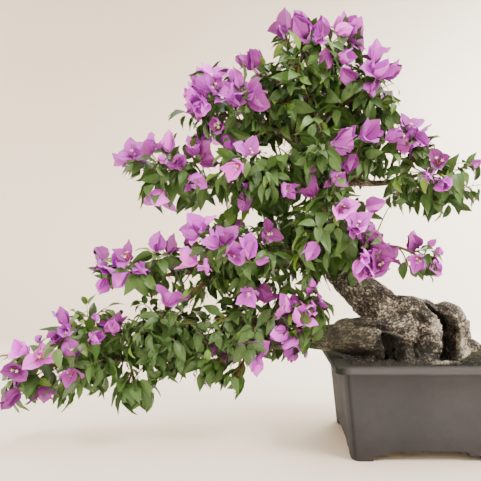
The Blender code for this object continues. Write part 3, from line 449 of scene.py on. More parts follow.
# Stems, twigs and shoots of a mass
STEM_RADIUS = 0.005
STEM_TIP_RADIUS = 0.0018
FULL_STEM_SPACE = 0.062
STEM_BEND = 0.4
STEM_REACH = 0.45
TWIG_START = 0.25
TWIG_LAST_START = 0.98
TWIG_STEPS = 6
TWIGS_PER_AREA = 92
AREA_POWER = 1.6
TWIG_RADIUS = 0.0017
TWIG_TIP_RADIUS = 0.0009
TWIG_ARCH = 0.16
TWIG_REACH = 1.15
TIP_ROOM = 0.02
BLOOM_TIP_ROOM = 0.032
DEEPEST_TIP = 0.34
LEAST_SPREAD = 0.35
SHOOT_RADIUS = 0.001
SHOOT_LENGTH = 0.046
SHOOT_TIP_RADIUS = 0.0006
SHOOTS_PER_TWIG = 2
LUMP_SCALE = 9.0
LUMPS = 0.3
SHARED_ROOM = 0.4
WOOD_ROOM = 0.004
WOOD_SAMPLES = 40

# Shoots that grow straight from the boughs, between the masses
BOUGH_SHOOT_STEP = 0.02
BOUGH_SHOOT_LENGTH = 0.075
BOUGH_SHOOT_REACH = 1.2
BOUGH_BARE = 0.3

# Leaves and blooms
LEAF_LENGTH = 0.054
LEAF_SPACING = 0.01
LEAF_REACH = 1.22
LEAF_SIZES = (0.56, 1.12)
TIP_LEAF_SIZES = (0.4, 0.75)
LEAF_HANG = 0.45
LOW_LEAF_HANG = 0.8
STALK_SHARE = 0.19
YOUNG_CHANCE = 0.11
YOUNG_SHADES = (4, 5)
# Leaves of masses at least this dense are smaller and are dealt darker greens, as painted shade
DENSE = 1.0
DENSE_PAINTED_SHADE = 1.3
DENSE_LEAF_SIZE = 0.8
BRACT_LENGTH = 0.0415
BRACT_OFFSET = 0.001
BLOOM_SIZES = (0.82, 1.1)
BUD_SIZES = (0.42, 0.62)
BUD_OPENNESS = 0.12
OPENNESSES = (0.3, 0.45, 0.6, 0.75, 0.9, 1.1)
BRACT_SHADES = (0, 1, 1, 2, 2, 2, 3, 3, 4)
FLOWER_LENGTHS = (0.012, 0.018)
FLOWER_OFFSET = 0.0015
FLOWER_CHANCE = 0.75
CLUSTER_UNITS = (1, 1, 1, 2, 2, 3)
BLOOM_STALKS = (0.008, 0.018)
STALK_RADIUS = 0.0007
BLOOM_ROOM = 0.95
FAR_BLOOM_CHANCE = 0.22
BUD_CHANCE = 0.1

# Colours as seen, from 0 to 255, those of a leaf with its roughness, those of flowers and
# twigs with a name and a roughness. The leaf greens, from dark to light, are dealt out as
# painted shade and painted light; the lightest two are also the green of young leaves
LEAF_COLOURS = (
    ((62, 91, 42), 0.46),
    ((71, 104, 46), 0.44),
    ((82, 117, 50), 0.42),
    ((96, 132, 56), 0.43),
    ((114, 152, 64), 0.46),
    ((128, 164, 64), 0.5),
)
LEAF_RIB_SHADE = (1.35, 1.35, 1.35)
BRACT_COLOURS = ((140, 58, 142), (166, 72, 172), (190, 86, 204), (222, 98, 240), (250, 120, 255))
BRACT_RIB_SHADE = (0.5, 0.3, 0.5)
PETAL_ROUGHNESS = 0.6
PLANT_SHEEN = 0.4
FLOWER_COLOURS = (("flower_tube", (214, 150, 120), 0.6), ("flower_star", (246, 236, 200), 0.6))
TWIG_COLOURS = (("twig_brown", (104, 84, 58), 0.8), ("shoot_green", (112, 112, 60), 0.7))
# Colours of a mottled finish, each with its place from 0 to 1
CLAY_STOPS = ((0.3, 56, 57, 61), (0.5, 62, 63, 67), (0.72, 68, 69, 73))
SOIL_STOPS = ((0.3, 12, 11, 10), (0.55, 25, 23, 19), (0.8, 47, 44, 37))
GRIT_STOPS = ((0.3, 26, 24, 21), (0.5, 48, 45, 39), (0.62, 36, 34, 30), (0.8, 94, 90, 80))
MOSS_STOPS = ((0.3, 50, 58, 24), (0.52, 86, 94, 38), (0.75, 126, 134, 62))
OLIVE_STOPS = ((0.32, 33, 33, 26), (0.5, 60, 59, 46), (0.68, 102, 99, 80))
PAINTED_SHADE_STOPS = ((0.25, 17, 17, 15), (0.6, 36, 36, 30), (0.95, 84, 81, 70))
# The clay's stains, specks and soiled foot, the painted shade down its corners and the
# painted highlight on its lip
CLAY_COLOURS = ((57, 57, 58), (28, 28, 29), (52, 46, 45), (30, 29, 27), (84, 83, 85))
# The bark's pits, its middle, its crests and the tint of its patches
RUGGED_BARK = ((37, 35, 33), (102, 97, 89), (214, 205, 191), (122, 119, 109))
THIN_BARK = ((58, 52, 42), (112, 102, 84), (170, 160, 138), (170, 160, 130))


def linear(red, green, blue):
    """A colour's linear values from its 0 to 255 values as seen."""
    return tuple(((value / 255 + 0.055) / 1.055) ** 2.4 for value in (red, green, blue))


def spline(values, along):
    """The value at a place from 0 to 1 on a smooth curve through evenly spaced values."""
    last = len(values) - 1
    place = min(max(along, 0), 1) * last
    first = min(int(place), last - 1)
    t = place - first
    b = values[first]
    c = values[first + 1]
    a = values[first - 1] if first > 0 else b * 2 - c
    d = values[first + 2] if first + 2 <= last else c * 2 - b
    square = (a * 2 - b * 5 + c * 4 - d) * t**2
    cube = (b * 3 - a - c * 3 + d) * t**3
    return (b * 2 + (c - a) * t + square + cube) * 0.5


class Limb:
    """A tapering limb: its centre line and its radii."""

    def __init__(self, points, radii):
        self.points = [Vector(point) for point in points]
        self.radii = radii

    def at(self, along):
        return spline(self.points, along)

    def radius(self, along):
        return max(spline(self.radii, along), min(self.radii))

    def direction(self, along):
        step = 0.01
        return (self.at(min(along + step, 1)) - self.at(max(along - step, 0))).normalized()

    def length(self):
        return sum((b - a).length for a, b in zip(self.points, self.points[1:]))

    def stations(self, steps):
        """Evenly spaced places along the limb, and its radius at each."""
        shares = [i / steps for i in range(steps + 1)]
        return [self.at(share) for share in shares], [self.radius(share) for share in shares]


def station_limb(stations):
    return Limb([place for place, _ in stations], [radius for _, radius in stations])


def root_limb(index, root):
    """A surface root, winding down from the trunk into the soil."""
    angle = math.radians(root.heading)
    outwards = Vector((math.cos(angle), math.sin(angle), 0))
    sideways = Vector((-math.sin(angle), math.cos(angle), 0)) * ROOT_WAVE * (1 if index % 2 else -1)
    middle_rise = (root.rise + root.end_rise) / 2 + root.rise * 0.1
    outer_rise = root.end_rise + root.rise * 0.12
    places = []
    for share, rise, aside in (
        (0.15, root.rise, 0),
        (0.5, middle_rise, 0.5),
        (0.78, outer_rise, -0.6),
        (1.04, root.end_rise - ROOT_END_DEPTH, 0),
    ):
        places.append(ROOT_FOOT + outwards * root.reach * share + UP * rise + sideways * aside)
    tip = root.end_radius
    return Limb(places, (root.radius, (root.radius + tip) * 0.5, tip * 1.25, tip))


def bough_limb(bough, parent):
    """The bough's line, starting inside the limb that carries it."""
    taper = (bough.tip_radius - bough.radius) / len(bough.way)
    radii = [bough.radius + taper * i for i in range(len(bough.way) + 1)]
    return Limb((parent.at(bough.along), *bough.way), radii)


def side_of(ahead, side=Vector((0.1, 1.0, 0.2))):
    """The sideways direction nearest to a given one."""
    return (side - ahead * side.dot(ahead)).normalized()


def turned(ahead, side, angle):
    """The sideways direction turned about the way ahead."""
    out = side.copy()
    out.rotate(Quaternion(ahead, angle))
    return out


def circle(sides, start=0):
    """The cosine and the sine of evenly spaced directions, once round."""
    angles = [2 * math.pi * (k + start) / sides for k in range(sides)]
    return [(math.cos(angle), math.sin(angle)) for angle in angles]


def settle(thing, **values):
    """Sets some of a thing's values and gives it back."""
    for key, value in values.items():
        setattr(thing, key, value)
    return thing


def add_object(name, data, place=MIDDLE):
    """An object in the scene, at the pot's middle unless a place is given."""
    made = settle(bpy.data.objects.new(name, data), location=place)
    bpy.context.scene.collection.objects.link(made)
    return made


def modify(made, kind, **values):
    settle(made.modifiers.new(kind.lower(), kind), **values)


def apply_modifiers(made):
    evaluated = made.evaluated_get(bpy.context.evaluated_depsgraph_get())
    mesh = bpy.data.meshes.new_from_object(evaluated)
    made.modifiers.clear()
    made.data = mesh


def shape_of(*meshes):
    """The faces of some meshes, or none, as one shape to work on."""
    shape = bmesh.new()
    for mesh in meshes:
        shape.from_mesh(mesh)
    return shape


def finish_shape(shape, mesh):
    """Writes a finished shape to a mesh and gives the mesh back."""
    shape.to_mesh(mesh)
    shape.free()
    return mesh


def ride(made, slot, *nodes):
    """The piece moves with the plant and stands for some nodes, which it hides. The slot is not used."""
    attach(made, "root")
    if nodes:
        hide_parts(*nodes)


class Pile:
    """Vertices and faces gathered for one joined mesh, each face with a material number."""

    def __init__(self):
        self.verts = []
        self.loops = []
        self.totals = []
        self.slots = []
        self.count = 0

    def add(self, verts, loops, totals, slots):
        self.verts.append(np.asarray(verts, float).reshape(-1, 3))
        self.loops.append(np.asarray(loops, int) + self.count)
        self.totals.append(np.asarray(totals, int))
        self.slots.append(np.asarray(slots, int))
        self.count += len(self.verts[-1])

    def add_tube(self, path, radii, sides, slot=0):
        """A closed tube along a row of points."""
        last = len(path) - 1
        side = None
        verts = []
        loops = []
        for i, point in enumerate(path):
            ahead = (path[min(i + 1, last)] - path[max(i - 1, 0)]).normalized()
            side = side_of(ahead) if side is None else side_of(ahead, side)
            across = ahead.cross(side)
            verts += [point + (side * cosine + across * sine) * radii[i] for cosine, sine in circle(sides)]
        for i in range(last):
            for k in range(sides):
                a = i * sides + k
                b = i * sides + (k + 1) % sides
                loops += (a, b, b + sides, a + sides)
        loops += range(sides - 1, -1, -1)
        loops += range(last * sides, (last + 1) * sides)
        totals = [4] * (last * sides) + [sides, sides]
        self.add(verts, loops, totals, [slot] * len(totals))

    def make(self, name, materials, smooth=True):
        """The gathered mesh as an object that stands at the pot's middle."""
        verts = np.concatenate(self.verts)
        loops = np.concatenate(self.loops)
        totals = np.concatenate(self.totals)
        mesh = bpy.data.meshes.new(name)
        mesh.vertices.add(len(verts))
        mesh.vertices.foreach_set("co", verts.ravel())
        mesh.loops.add(len(loops))
        mesh.loops.foreach_set("vertex_index", loops)
        mesh.polygons.add(len(totals))
        mesh.polygons.foreach_set("loop_start", np.concatenate(([0], np.cumsum(totals)[:-1])))
        mesh.polygons.foreach_set("material_index", np.concatenate(self.slots))
        mesh.polygons.foreach_set("use_smooth", np.full(len(totals), smooth))
        for material in materials:
            mesh.materials.append(material)
        mesh.update(calc_edges=True)
        mesh.validate()
        return add_object(name, mesh)


def plain_material(name, colour, roughness):
    """A material of one linear colour all over, with a low sheen."""
    made = settle(bpy.data.materials.new(name), use_nodes=True, diffuse_color=(*colour, 1))
    inputs = made.node_tree.nodes["Principled BSDF"].inputs
    inputs["Base Color"].default_value = (*colour, 1)
    inputs["Roughness"].default_value = roughness
    inputs["Specular IOR Level"].default_value = PLANT_SHEEN
    return made


def plain_materials(rows):
    """A material for each row of a name, a colour as seen and a roughness."""
    return [plain_material(name, linear(*seen), roughness) for name, seen, roughness in rows]


def paired_materials(face, rib, colours, rib_share):
    """For each colour in turn, the material of a blade's face and that of its rib."""
    made = []
    for i, (seen, roughness) in enumerate(colours):
        for name, share in ((face, (1, 1, 1)), (rib, rib_share)):
            colour = tuple(min(value * part, 1) for value, part in zip(linear(*seen), share))
            made.append(plain_material(f"{name}_{i}", colour, roughness))
    return made


class Nodes:
    """A procedural material's nodes, placed in the object's own coordinates."""

    def __init__(self, name, roughness):
        self.material = settle(bpy.data.materials.new(name), use_nodes=True)
        self.tree = self.material.node_tree
        self.shader = self.fill(self.tree.nodes["Principled BSDF"], {"Roughness": roughness})
        self.place = self.add("TexCoord", {}).outputs["Object"]

    def fill(self, node, values):
        """Sets a node's inputs, each to a number, a colour as seen or another node's output."""
        for key, value in values.items():
            if isinstance(value, tuple):
                node.inputs[key].default_value = (*linear(*value), 1)
            elif isinstance(value, (int, float)):
                node.inputs[key].default_value = value
            else:
                self.tree.links.new(value, node.inputs[key])
        return node

    def add(self, kind, values, **settings):
        """A node of a kind, with its settings made and its inputs filled."""
        return self.fill(settle(self.tree.nodes.new("ShaderNode" + kind), **settings), values)

    def noise(self, scale, detail=4.0, roughness=0.6):
        values = {"Scale": scale, "Detail": detail, "Roughness": roughness, "Vector": self.place}
        return self.add("TexNoise", values).outputs["Fac"]

    def ramp(self, value, *stops):
        """A colour for a value, from stops of a place and a colour as seen."""
        node = self.add("ValToRGB", {"Fac": value})
        elements = node.color_ramp.elements
        while len(elements) < len(stops):
            elements.new(0.5)
        for element, (place, *colour) in zip(elements, stops):
            settle(element, position=place, color=(*linear(*colour), 1))
        return node.outputs["Color"]

    def blend(self, amount, first, second, mode="MIX"):
        values = {0: amount, 6: first, 7: second}
        return self.add("Mix", values, data_type="RGBA", blend_type=mode).outputs[2]

    def math(self, operation, first, second=0):
        return self.add("Math", {0: first, 1: second}, operation=operation).outputs[0]

    def span(self, value, low, high, start=0.0, end=1.0):
        """A value from one range carried to another, held at its ends."""
        values = {"Value": value, "From Min": low, "From Max": high, "To Min": start, "To Max": end}
        return self.add("MapRange", values).outputs["Result"]

    def attribute(self, name):
        return self.add("Attribute", {}, attribute_name=name).outputs["Fac"]

    def finished(self, colour, grain=None, strength=0.0, height=0.0):
        """The finished material, with a fine bump where a grain is given."""
        self.fill(self.shader, {"Base Color": colour})
        if grain is not None:
            bump = self.add("Bump", {"Strength": strength, "Distance": height, "Height": grain})
            self.fill(self.shader, {"Normal": bump.outputs["Normal"]})
        return self.material


def clay_material(name, sheen, top_colour, end_shade_colour):
    """Unglazed brown-grey clay, darker and greener on top of the lip, with painted shade at the lip's left
    end and down the corners and a painted highlight on the lip.
    """
    nodes = Nodes(name, 0.7)
    x, y, z = nodes.add("SeparateXYZ", {0: nodes.place}).outputs
    stains = nodes.span(nodes.noise(26, 6, 0.7), 0.52, 0.72, 0.0, 0.45)
    specks = nodes.span(nodes.noise(620, 2), 0.62, 0.72, 0.0, 0.35)
    soiled_foot = nodes.span(z, *FOOT_BAND, 0.0, 0.45)
    past_corner = nodes.math("SUBTRACT", nodes.math("ABSOLUTE", x), nodes.math("ABSOLUTE", y))
    # Painted shade: a thin dark line down each of the pot's corners
    painted_corner_shade = nodes.span(nodes.math("ABSOLUTE", past_corner), *CORNER_SHADE_BAND, 0.55, 0.0)
    # Painted highlight: the lip, from its foot up, is lighter than the body below it
    lip = nodes.span(z, *LIP_HIGHLIGHT_BAND, 0.0, 0.6)
    # Painted highlight: the lip top's dark colour thins out towards its front edge, leaving that edge light
    front_highlight_fade = nodes.span(y, *FRONT_HIGHLIGHT_BAND, 1.0, 0.25)
    lip_top = nodes.math("MULTIPLY", nodes.span(z, *LIP_TOP_BAND), front_highlight_fade)
    # Painted shade: the lip's left end is darkened, below the stub
    left_end_shade = nodes.span(x, *LEFT_END_SHADE_BAND, 0.0, 0.9)
    painted_lip_end_shade = nodes.math("MULTIPLY", left_end_shade, nodes.span(z, *LIP_EDGE_BAND))
    clay = nodes.ramp(nodes.noise(9, 5), *CLAY_STOPS)
    amounts = (stains, specks, soiled_foot, painted_corner_shade, lip, lip_top, painted_lip_end_shade)
    for amount, colour in zip(amounts, (*CLAY_COLOURS, top_colour, end_shade_colour)):
        clay = nodes.blend(amount, clay, colour)
    roughness = nodes.span(nodes.noise(34, 4), 0.3, 0.7, 0.68, 0.9)
    nodes.fill(nodes.shader, {"Roughness": roughness, "Specular IOR Level": sheen})
    grain = nodes.math("ADD", nodes.noise(900, 2), nodes.math("MULTIPLY", nodes.noise(70, 4), 1.6))
    return nodes.finished(clay, grain, 0.35, 0.0006)


def bark_material(name, pit, middle, crest, tint):
    """Bark whose pits are dark and crests light, from the relief kept on the mesh, which carries painted
    light in places, and darkened where the mesh keeps painted shade.
    """
    nodes = Nodes(name, 0.9)
    grain = nodes.math("MULTIPLY", nodes.math("SUBTRACT", nodes.noise(270, 5, 0.7), 0.5), 1.5)
    level = nodes.math("ADD", nodes.attribute("relief"), grain)
    bark = nodes.ramp(level, (0.22, *pit), (0.48, *middle), (0.86, *crest))
    patches = nodes.span(nodes.noise(22, 4), 0.45, 0.68, 0.0, 0.55)
    bark = nodes.blend(patches, bark, tint, "MULTIPLY")
    mottle = nodes.math("MULTIPLY", nodes.noise(40, 5), 0.65)
    worn = nodes.math("ADD", nodes.math("MULTIPLY", level, 0.35), mottle)
    olive = nodes.ramp(worn, *OLIVE_STOPS)
    bark = nodes.blend(nodes.attribute("smoothness"), bark, olive)
    # Painted shade: darker bark under the stub, round the trunk's foot and in the hollows
    painted_shade_tone = nodes.ramp(level, *PAINTED_SHADE_STOPS)
    bark = nodes.blend(nodes.attribute("stain"), bark, painted_shade_tone)
    return nodes.finished(bark, nodes.noise(700, 3), 0.5, 0.0008)


def soil_material():
    nodes = Nodes("dark_soil", 0.95)
    crumbs = nodes.ramp(nodes.noise(260, 5, 0.7), *SOIL_STOPS)
    green = nodes.span(nodes.noise(30, 4), 0.52, 0.7, 0.0, 0.5)
    return nodes.finished(nodes.blend(green, crumbs, (48, 50, 28)), nodes.noise(500, 4), 0.8, 0.0015)


def stone_material():
    nodes = Nodes("grit", 0.85)
    return nodes.finished(nodes.ramp(nodes.noise(90, 2), *GRIT_STOPS), nodes.noise(900, 2), 0.4, 0.0004)


def moss_material():
    nodes = Nodes("moss", 0.9)
    return nodes.finished(nodes.ramp(nodes.noise(120, 4), *MOSS_STOPS))


def stage_material():
    nodes = Nodes("plain_backdrop", 0.9)
    return nodes.finished(nodes.ramp(nodes.noise(0.6, 1), (0.3, 240, 229, 213), (0.7, 243, 233, 218)))


def rounded_ring(half_width, half_depth, height):
    """A level ring of points round a rectangle with rounded corners."""
    ring = []
    for quarter, (side_x, side_y) in enumerate(((1, 1), (-1, 1), (-1, -1), (1, -1))):
        for step in range(CORNER_STEPS + 1):
            angle = (quarter + step / CORNER_STEPS) * math.pi / 2
            x = side_x * (half_width - CORNER_RADIUS) + CORNER_RADIUS * math.cos(angle)
            y = side_y * (half_depth - CORNER_RADIUS) + CORNER_RADIUS * math.sin(angle)
            ring.append((x, y, height))
    return ring


def pot_ring(inset, height):
    """A ring of the pot, this far in from the lip's outer edge."""
    return rounded_ring(POT_WIDTH / 2 - inset, POT_DEPTH / 2 - inset, height)


def inner_inset(height):
    """How far the pot's inner wall lies in from the lip's edge at this height."""
    depth = (POT_HEIGHT - height) / (POT_HEIGHT - FLOOR_TOP)
    return LIP_WIDTH + INNER_TAPER * depth


def loft(rings):
    """A closed mesh through a row of rings, with flat ends."""
    shape = shape_of()
    made = [[shape.verts.new(point) for point in ring] for ring in rings]
    for ring, following in zip(made, made[1:]):
        for i in range(len(ring)):
            j = (i + 1) % len(ring)
            shape.faces.new((ring[i], ring[j], following[j], following[i]))
    shape.faces.new(made[0][::-1])
    shape.faces.new(made[-1])
    bmesh.ops.recalc_face_normals(shape, faces=shape.faces)
    return finish_shape(shape, bpy.data.meshes.new("loft"))


def quarter_turn(first, inner, outer, low, high):
    """Places on a curve that starts upright and ends level, across and up."""
    places = []
    for step in range(first, CURVE_STEPS + 1):
        turn = step / CURVE_STEPS * math.pi / 2
        places.append((inner + (outer - inner) * math.cos(turn), low + (high - low) * math.sin(turn)))
    return places


def cut_out_profile(half_bottom):
    """The outline of the gap between two feet, as places across and up."""
    ground = half_bottom - FOOT_WIDTH
    right = [(ground, -STEP_HEIGHT), (ground, 0)]
    right += quarter_turn(1, ground - FOOT_FLARE, ground, 0, STEP_HEIGHT)
    step_end = half_bottom - STEP_END
    right += quarter_turn(0, half_bottom - CUT_OUT_START, step_end, STEP_HEIGHT, CUT_OUT_HEIGHT)
    return right + [(-across, up) for across, up in reversed(right)]


def cut_feet(pot, half_bottom, along_x):
    """Takes a long prism of the cut-out's outline out of the pot's underside."""
    rings = []
    for far in (-POT_WIDTH, POT_WIDTH):
        profile = cut_out_profile(half_bottom)
        rings.append([(far, across, up) if along_x else (across, far, up) for across, up in profile])
    cutter = add_object("foot_gap", loft(rings))
    modify(pot, "BOOLEAN", operation="DIFFERENCE", solver="EXACT", object=cutter)
    apply_modifiers(pot)
    bpy.data.objects.remove(cutter)


def arc(start_inset, start_height, turn_start):
    """Places round a quarter of the lip's rounded edge, as insets and heights."""
    places = []
    for step in range(ARC_STEPS + 1):
        turn = math.radians(turn_start + 90 * step / ARC_STEPS)
        inset = start_inset - LIP_ROUNDING * math.cos(turn)
        places.append((inset, start_height + LIP_ROUNDING * math.sin(turn)))
    return places


def make_pot():
    under_lip = POT_HEIGHT - LIP_HEIGHT
    bottom_inset = LIP_OVERHANG + BODY_TAPER
    rounding_top = POT_HEIGHT - LIP_ROUNDING
    profile = [(bottom_inset, 0)]
    profile += [(LIP_OVERHANG + inwards, under_lip + up) for inwards, up in UNDER_LIP]
    profile += arc(LIP_ROUNDING, under_lip + LIP_ROUNDING, -90)
    profile += arc(LIP_ROUNDING, rounding_top, 0)
    profile += [(LIP_WIDTH / 2, POT_HEIGHT)]
    profile += arc(inner_inset(POT_HEIGHT) - LIP_ROUNDING, rounding_top, 90)
    profile += [(inner_inset(height), height) for height in (SOIL_TOP - 0.02, FLOOR_TOP)]
    pot = add_object("clay_pot", loft([pot_ring(inset, height) for inset, height in profile]))
    cut_feet(pot, POT_WIDTH / 2 - bottom_inset, False)
    cut_feet(pot, POT_DEPTH / 2 - bottom_inset, True)
    worn_angle = math.radians(40)
    modify(pot, "BEVEL", width=EDGE_WEAR, segments=3, limit_method="ANGLE", angle_limit=worn_angle)
    apply_modifiers(pot)
    pot.data.shade_smooth()
    pot.data.set_sharp_from_angle(angle=math.radians(50))
    pot.data.materials.clear()
    # Each clay: its sheen, the dark colour of the lip's top and that of the painted shade at the lip's left
    # end
    pot.data.materials.append(clay_material("unglazed_clay", 0.1, (22, 24, 22), (25, 27, 23)))
    pot.data.materials.append(clay_material("lip_clay", 0.0, (56, 56, 51), (57, 58, 52)))
    for face in pot.data.polygons:
        face.material_index = 1 if face.center.z > rounding_top and face.normal.z > 0.9 else 0
    ride(pot, "clay", "pot")


def soil_half(side, clearance):
    """Half the soil's width or depth, less a clearance."""
    return side / 2 - inner_inset(SOIL_TOP) - clearance


def soil_height(x, y):
    """The soil's relief, mounded where moss grows."""
    height = SOIL_RELIEF * noise.fractal(Vector((x, y, 0)) * SOIL_SCALE, 0.8, 2.0, 4)
    height += CRUMB_RELIEF * noise.noise(Vector((x, y, 1)) * CRUMB_SCALE)
    for (patch_x, patch_y), radius, rise in MOSS_PATCHES:
        away = math.hypot(x - patch_x, y - patch_y) / radius
        height += rise * max(1 - away**2, 0)
    return height


def in_moss(x, y):
    """How deep in a moss patch a place lies, from 0 at its edge."""
    depths = [1 - math.hypot(x - place[0], y - place[1]) / radius for place, radius, _ in MOSS_PATCHES]
    return max(depths) + MOSS_EDGE * noise.noise(Vector((x, y, 2)) * MOSS_EDGE_SCALE)


def make_soil():
    """The filled inside of the pot, its top crumbly and uneven."""
    half_width = soil_half(POT_WIDTH, SOIL_CLEARANCE)
    half_depth = soil_half(POT_DEPTH, SOIL_CLEARANCE)
    shape = shape_of()
    bmesh.ops.create_grid(shape, x_segments=SOIL_STEPS, y_segments=SOIL_STEPS, size=1)
    for vert in shape.verts:
        x = vert.co.x * half_width
        y = vert.co.y * half_depth
        fade = min(min(half_width - abs(x), half_depth - abs(y)) / SOIL_EDGE, 1)
        vert.co = (x, y, SOIL_TOP + soil_height(x, y) * fade - SOIL_EDGE_DROP * (1 - fade))
    rim = [edge for edge in shape.edges if edge.is_boundary]
    wall = bmesh.ops.extrude_edge_only(shape, edges=rim)["geom"]
    for item in wall:
        if isinstance(item, bmesh.types.BMVert):
            item.co.z = SOIL_TOP - SOIL_DEPTH
    bmesh.ops.contextual_create(shape, geom=[item for item in wall if isinstance(item, bmesh.types.BMEdge)])
    bmesh.ops.recalc_face_normals(shape, faces=shape.faces)
    mesh = finish_shape(shape, bpy.data.meshes.new("soil_surface"))
    mesh.shade_smooth()
    mesh.materials.append(soil_material())
    ride(add_object("soil_surface", mesh), "soil", "soil")


def make_grit():
    """Small angular stones and crumbs pressed into the soil."""
    chance = random.Random(GRIT_SEED)
    shape = shape_of()
    bmesh.ops.create_icosphere(shape, subdivisions=1, radius=1)
    places = np.array([vert.co[:] for vert in shape.verts])
    loops = np.array([[vert.index for vert in face.verts] for face in shape.faces]).ravel()
    faces = len(shape.faces)
    shape.free()
    half = soil_half(POT_WIDTH, GRIT_CLEARANCE)
    pile = Pile()
    for _ in range(GRIT_STONES):
        x = chance.uniform(-half, half)
        y = chance.uniform(-half, half) * POT_DEPTH / POT_WIDTH
        if in_moss(x, y) > 0.1 and chance.random() < GRIT_LOST_IN_MOSS:
            continue
        size = GRIT_SIZE + GRIT_SIZE_RANGE * chance.random() ** 3
        stretch = np.array([size * chance.uniform(*GRIT_STRETCH) for _ in range(3)])
        jitter = np.array([[chance.uniform(*GRIT_JITTER)] for _ in places])
        place = np.array((x, y, SOIL_TOP + soil_height(x, y) + size * GRIT_RISE))
        pile.add(places * jitter * stretch + place, loops, [3] * faces, [0] * faces)
    ride(pile.make("grit_stones", [stone_material()], smooth=False), "soil")


def make_moss():
    """Tufts of moss as small pointed blades standing on the mounds."""
    chance = random.Random(MOSS_SEED)
    pile = Pile()
    half = soil_half(POT_WIDTH, MOSS_CLEARANCE)
    for _ in range(MOSS_TUFTS):
        patch, radius, _ = chance.choice(MOSS_PATCHES)
        x = patch[0] + chance.uniform(-radius, radius) * MOSS_SPREAD
        y = patch[1] + chance.uniform(-radius, radius) * MOSS_SPREAD
        if in_moss(x, y) < MOSS_START or abs(x) > half or abs(y) > half:
            continue
        root = Vector((x, y, SOIL_TOP + soil_height(x, y) - TUFT_DEPTH))
        lean = Vector((chance.uniform(-1, 1), chance.uniform(-1, 1), 1.6)).normalized()
        side = side_of(lean, Vector((chance.uniform(-1, 1), chance.uniform(-1, 1), 0.1)))
        across = lean.cross(side)
        tall = chance.uniform(*TUFT_HEIGHTS)
        wide = chance.uniform(*TUFT_WIDTHS)
        foot = [root + (side * math.cos(turn) + across * math.sin(turn)) * wide for turn in TUFT_TURNS]
        pile.add([*foot, root + lean * tall], [0, 1, 3, 1, 2, 3, 2, 0, 3], [3, 3, 3], [0, 0, 0])
    ride(pile.make("moss_tufts", [moss_material()], smooth=False), "moss")


def nearest_limb(places, limbs):
    """For each place, which limb it lies on and that limb's direction there."""
    best = np.full(len(places), np.inf)
    which = np.zeros(len(places), int)
    ahead = np.zeros((len(places), 3))
    for number, limb in enumerate(limbs):
        for i in range(LIMB_SAMPLES + 1):
            along = i / LIMB_SAMPLES
            distance = np.linalg.norm(places - np.array(limb.at(along)), axis=1) - limb.radius(along)
            nearer = distance < best
            best[nearer] = distance[nearer]
            which[nearer] = number
            ahead[nearer] = limb.direction(along)
    return which, ahead


def bark_height(place, ahead, coarse):
    """The bark's relief at a place and its lightness there, from lumps, plates, sinews and grain."""
    drawn = place - ahead * (place.dot(ahead) * PLATE_STRETCH)
    strung = place - ahead * (place.dot(ahead) * SINEW_STRETCH)
    warp = noise.noise_vector(place * WARP_SCALE) * WARP
    near, second = noise.voronoi((drawn + warp) * PLATE_SCALE)[0][:2]
    plates = min((second - near) / PLATE_GAP, 1)
    lumps = noise.fractal(place * BARK_LUMP_SCALE, 0.9, 2.0, 3)
    sinews = 1 - 2 * abs(noise.noise(strung * SINEW_SCALE))
    grain = noise.noise(drawn * GRAIN_SCALE)
    height = coarse * (LUMP_HEIGHT * lumps + SINEW_HEIGHT * (sinews - 0.5))
    height = height + PLATE_HEIGHT * (plates - 0.5) + GRAIN_HEIGHT * grain
    return height, plates * 0.54 + grain * 0.14 + lumps * 0.32 + (sinews - 0.5) * 0.14


def keep(mesh, name, values):
    """Keeps a value for each point, for the bark's material."""
    kept = mesh.attributes.new(name, "FLOAT", "POINT")
    kept.data.foreach_set("value", values)


def point_values(mesh, name):
    """A place or a direction for each point of the mesh, as rows."""
    values = np.empty(len(mesh.vertices) * 3)
    mesh.vertices.foreach_get(name, values)
    return values.reshape(-1, 3)


def move_points(mesh, places):
    mesh.vertices.foreach_set("co", places.ravel())
    mesh.update()


def add_relief(mesh, ahead, amounts, coarse):
    """Moves the mesh's points out and in by the bark's relief and keeps it for colour, raised where painted
    light lies.
    """
    places = point_values(mesh, "co")
    normals = point_values(mesh, "normal")
    relief = np.empty(len(places))
    for i in range(len(places)):
        height, relief[i] = bark_height(Vector(places[i]), Vector(ahead[i]), coarse)
        places[i] += normals[i] * (height * amounts[i])
    # Painted light: the kept relief is raised where the bark is painted lighter
    keep(mesh, "relief", np.clip(relief * 0.75 + 0.18 + patch_share(places, PAINTED_LIGHT_PLACES), 0, 1))
    move_points(mesh, places)


def hollow_share(places, hollow):
    """How far inside a hollow each place lies: 0 at its edge and 1 along its middle line."""
    flat = places[:, [0, 2]]
    share = np.zeros(len(places))
    for (start, start_width), (end, end_width) in zip(hollow.places, hollow.places[1:]):
        line = np.array(end) - np.array(start)
        t = np.clip((flat - np.array(start)) @ line / (line @ line), 0, 1)
        away = np.linalg.norm(flat - np.array(start) - t[:, None] * line, axis=1)
        inside = np.clip(1.6 - 1.2 * away / (start_width + (end_width - start_width) * t), 0, 1)
        share = np.maximum(share, inside**2 * (3 - 2 * inside))
    return share


def carve(mesh, hollow):
    """Pushes the mesh's front back along a hollow, most along its middle line."""
    places = point_values(mesh, "co")
    front = places[:, 1] < 0
    places[front, 1] += hollow.depth * hollow_share(places, hollow)[front]
    move_points(mesh, places)


def ellipsoid_share(places, centre, radii):
    """How far inside an ellipsoid each place lies, from 0 a little outside it."""
    away = np.linalg.norm((places - np.array(centre)) / np.array(radii), axis=1)
    return np.clip(1.6 - 1.3 * away, 0, 1)


def patch_share(places, patches):
    """How strong the strongest of some patches is at each place."""
    share = np.zeros(len(places))
    for patch in patches:
        share = np.maximum(share, patch.amount * ellipsoid_share(places, patch.centre, patch.radii))
    return share


